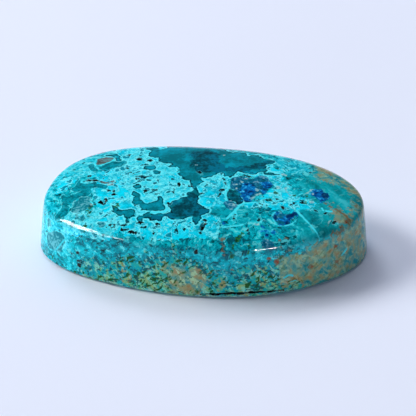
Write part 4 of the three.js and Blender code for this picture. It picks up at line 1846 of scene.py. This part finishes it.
@dataclass(frozen=True)
class Camera:
    """The camera, by where it aims and from where it looks, in millimetres and radians.

    Its nearest distance is in metres.
    """

    aim: tuple[float, float, float] = (0.28, 2.12, 3.5)
    turn: float = math.radians(5.0)
    rise: float = math.radians(35.5)
    distance: float = 240.0
    lens: float = 177.97
    sensor: float = 36.0
    nearest: float = 0.01

    def place(self) -> None:
        """Adds the camera and makes it the scene's."""
        back = Vector((
            math.sin(self.turn) * math.cos(self.rise),
            -math.cos(self.turn) * math.cos(self.rise),
            math.sin(self.rise),
        ))
        bpy.ops.object.camera_add(location=(Vector(self.aim) + back * self.distance) * MM)
        camera = bpy.context.object
        camera.name = "camera"
        camera.rotation_euler = back.to_track_quat("Z", "Y").to_euler()
        camera.data.lens = self.lens
        camera.data.sensor_width = self.sensor
        camera.data.clip_start = self.nearest
        bpy.context.scene.camera = camera
        log.info("camera %.0f mm away", self.distance)


@dataclass(frozen=True)
class Lamp:
    """A soft lamp, by its bearing and rise in degrees, and its distance and size in metres.

    A lamp that isn't mirrored only lights the stone, and one that doesn't light is only mirrored.
    """

    name: str
    bearing: float
    rise: float
    distance: float
    width: float
    height: float
    power: float
    colour: tuple[float, float, float]
    mirrored: bool = True
    lights: bool = True

    def place(self) -> None:
        """Adds the lamp, aimed at the stone."""
        bearing = math.radians(self.bearing)
        rise = math.radians(self.rise)
        towards = Vector((
            math.cos(bearing) * math.cos(rise),
            math.sin(bearing) * math.cos(rise),
            math.sin(rise),
        ))
        bpy.ops.object.light_add(type="AREA", location=towards * self.distance)
        lamp = bpy.context.object
        lamp.name = self.name
        lamp.rotation_euler = towards.to_track_quat("Z", "Y").to_euler()
        lamp.data.shape = "RECTANGLE"
        lamp.data.size = self.width
        lamp.data.size_y = self.height
        lamp.data.energy = self.power
        lamp.data.color = self.colour
        lamp.visible_glossy = self.mirrored
        lamp.visible_diffuse = self.lights
        log.info("lamp %s", self.name)


@dataclass(frozen=True)
class TableFinish:
    """The pale, quite matt table top."""

    name: str = "pale_table"
    colour: tuple[float, float, float] = (0.81, 0.868, 0.99)
    roughness: float = 0.6
    shine: float = 0.0

    def make(self) -> bpy.types.Material:
        """Builds the material.

        Returns:
            The material.
        """
        material = bpy.data.materials.new(self.name)
        material.use_nodes = True
        shader = material.node_tree.nodes["Principled BSDF"]
        shader.inputs["Base Color"].default_value = (*self.colour, 1)
        shader.inputs["Roughness"].default_value = self.roughness
        shader.inputs["Specular IOR Level"].default_value = self.shine
        return material


@dataclass
class Table:
    """The table that the stone lies on, in metres, a hair below the stone's back."""

    size: float = 3.0
    drop: float = 0.00001
    name: str = "table"

    def build(self) -> bpy.types.Object:
        """Models the table top.

        Returns:
            The table's object.
        """
        bpy.ops.object.select_all(action="DESELECT")
        bpy.ops.mesh.primitive_plane_add(size=self.size, location=(0, 0, -self.drop))
        table = bpy.context.object
        table.name = self.name
        log.info("%s is %.1f m wide", table.name, self.size)
        return table

    def dress(self, table: bpy.types.Object, finish: TableFinish) -> None:
        """Gives the table its finish."""
        table.data.materials.append(finish.make())


@dataclass(frozen=True)
class Room:
    """The pale room and its soft lamps."""

    name: str = "room"
    colour: tuple[float, float, float] = (0.78, 0.78, 1.0)
    strength: float = 0.11
    lamps: tuple[Lamp, ...] = (
        Lamp("ceiling", 90, 57, 1.6, 2.0, 2.0, 11.9, (0.83, 0.855, 1.0), mirrored=False),
        Lamp("window", 173, 37, 1.5, 0.65, 0.55, 17.8, (1.0, 0.98, 0.96), mirrored=False),
        Lamp("high_window", 124, 50, 1.5, 0.5, 0.5, 5.0, (0.95, 0.97, 1.0), mirrored=False),
        Lamp("front_fill", 256, 7, 1.5, 1.2, 0.1, 4.2, (1.0, 0.98, 0.97), mirrored=False),
        Lamp("left_strip", 207, 22, 1.5, 0.75, 1.1, 145.0, (1.0, 0.97, 0.96), lights=False),
        Lamp("tail_strip", 225, 12, 1.5, 0.7, 0.4, 26.0, (0.95, 0.99, 1.0), lights=False),
        Lamp("front_strip", -62, 1.5, 1.5, 0.42, 0.09, 24.0, (1.0, 0.98, 0.96), lights=False),
    )

    def light(self) -> None:
        """Lights the scene from all round and with each lamp, and shows its colours as they are."""
        scene = bpy.context.scene
        scene.world = bpy.data.worlds.new(self.name)
        scene.world.use_nodes = True
        sky = scene.world.node_tree.nodes["Background"]
        sky.inputs["Color"].default_value = (*self.colour, 1)
        sky.inputs["Strength"].default_value = self.strength
        for lamp in self.lamps:
            lamp.place()
        scene.view_settings.view_transform = "Standard"
        scene.view_settings.look = "None"


def main() -> None:
    """Builds the stone at the part's size and dresses it and its table, lights them, and places the camera.
    """
    logging.basicConfig(level=logging.INFO, format="%(name)s: %(message)s")
    low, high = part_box(NODE)
    size = (high - low) / MM
    stone = Stone(Plan(size.x, size.y), Section(size.z), Fissure(), PITS)
    stone.dress(stone.build(), StoneFinish())
    table = Table()
    table.dress(table.build(), TableFinish())
    Room().light()
    Camera().place()


if __name__ == "__main__":
    main()
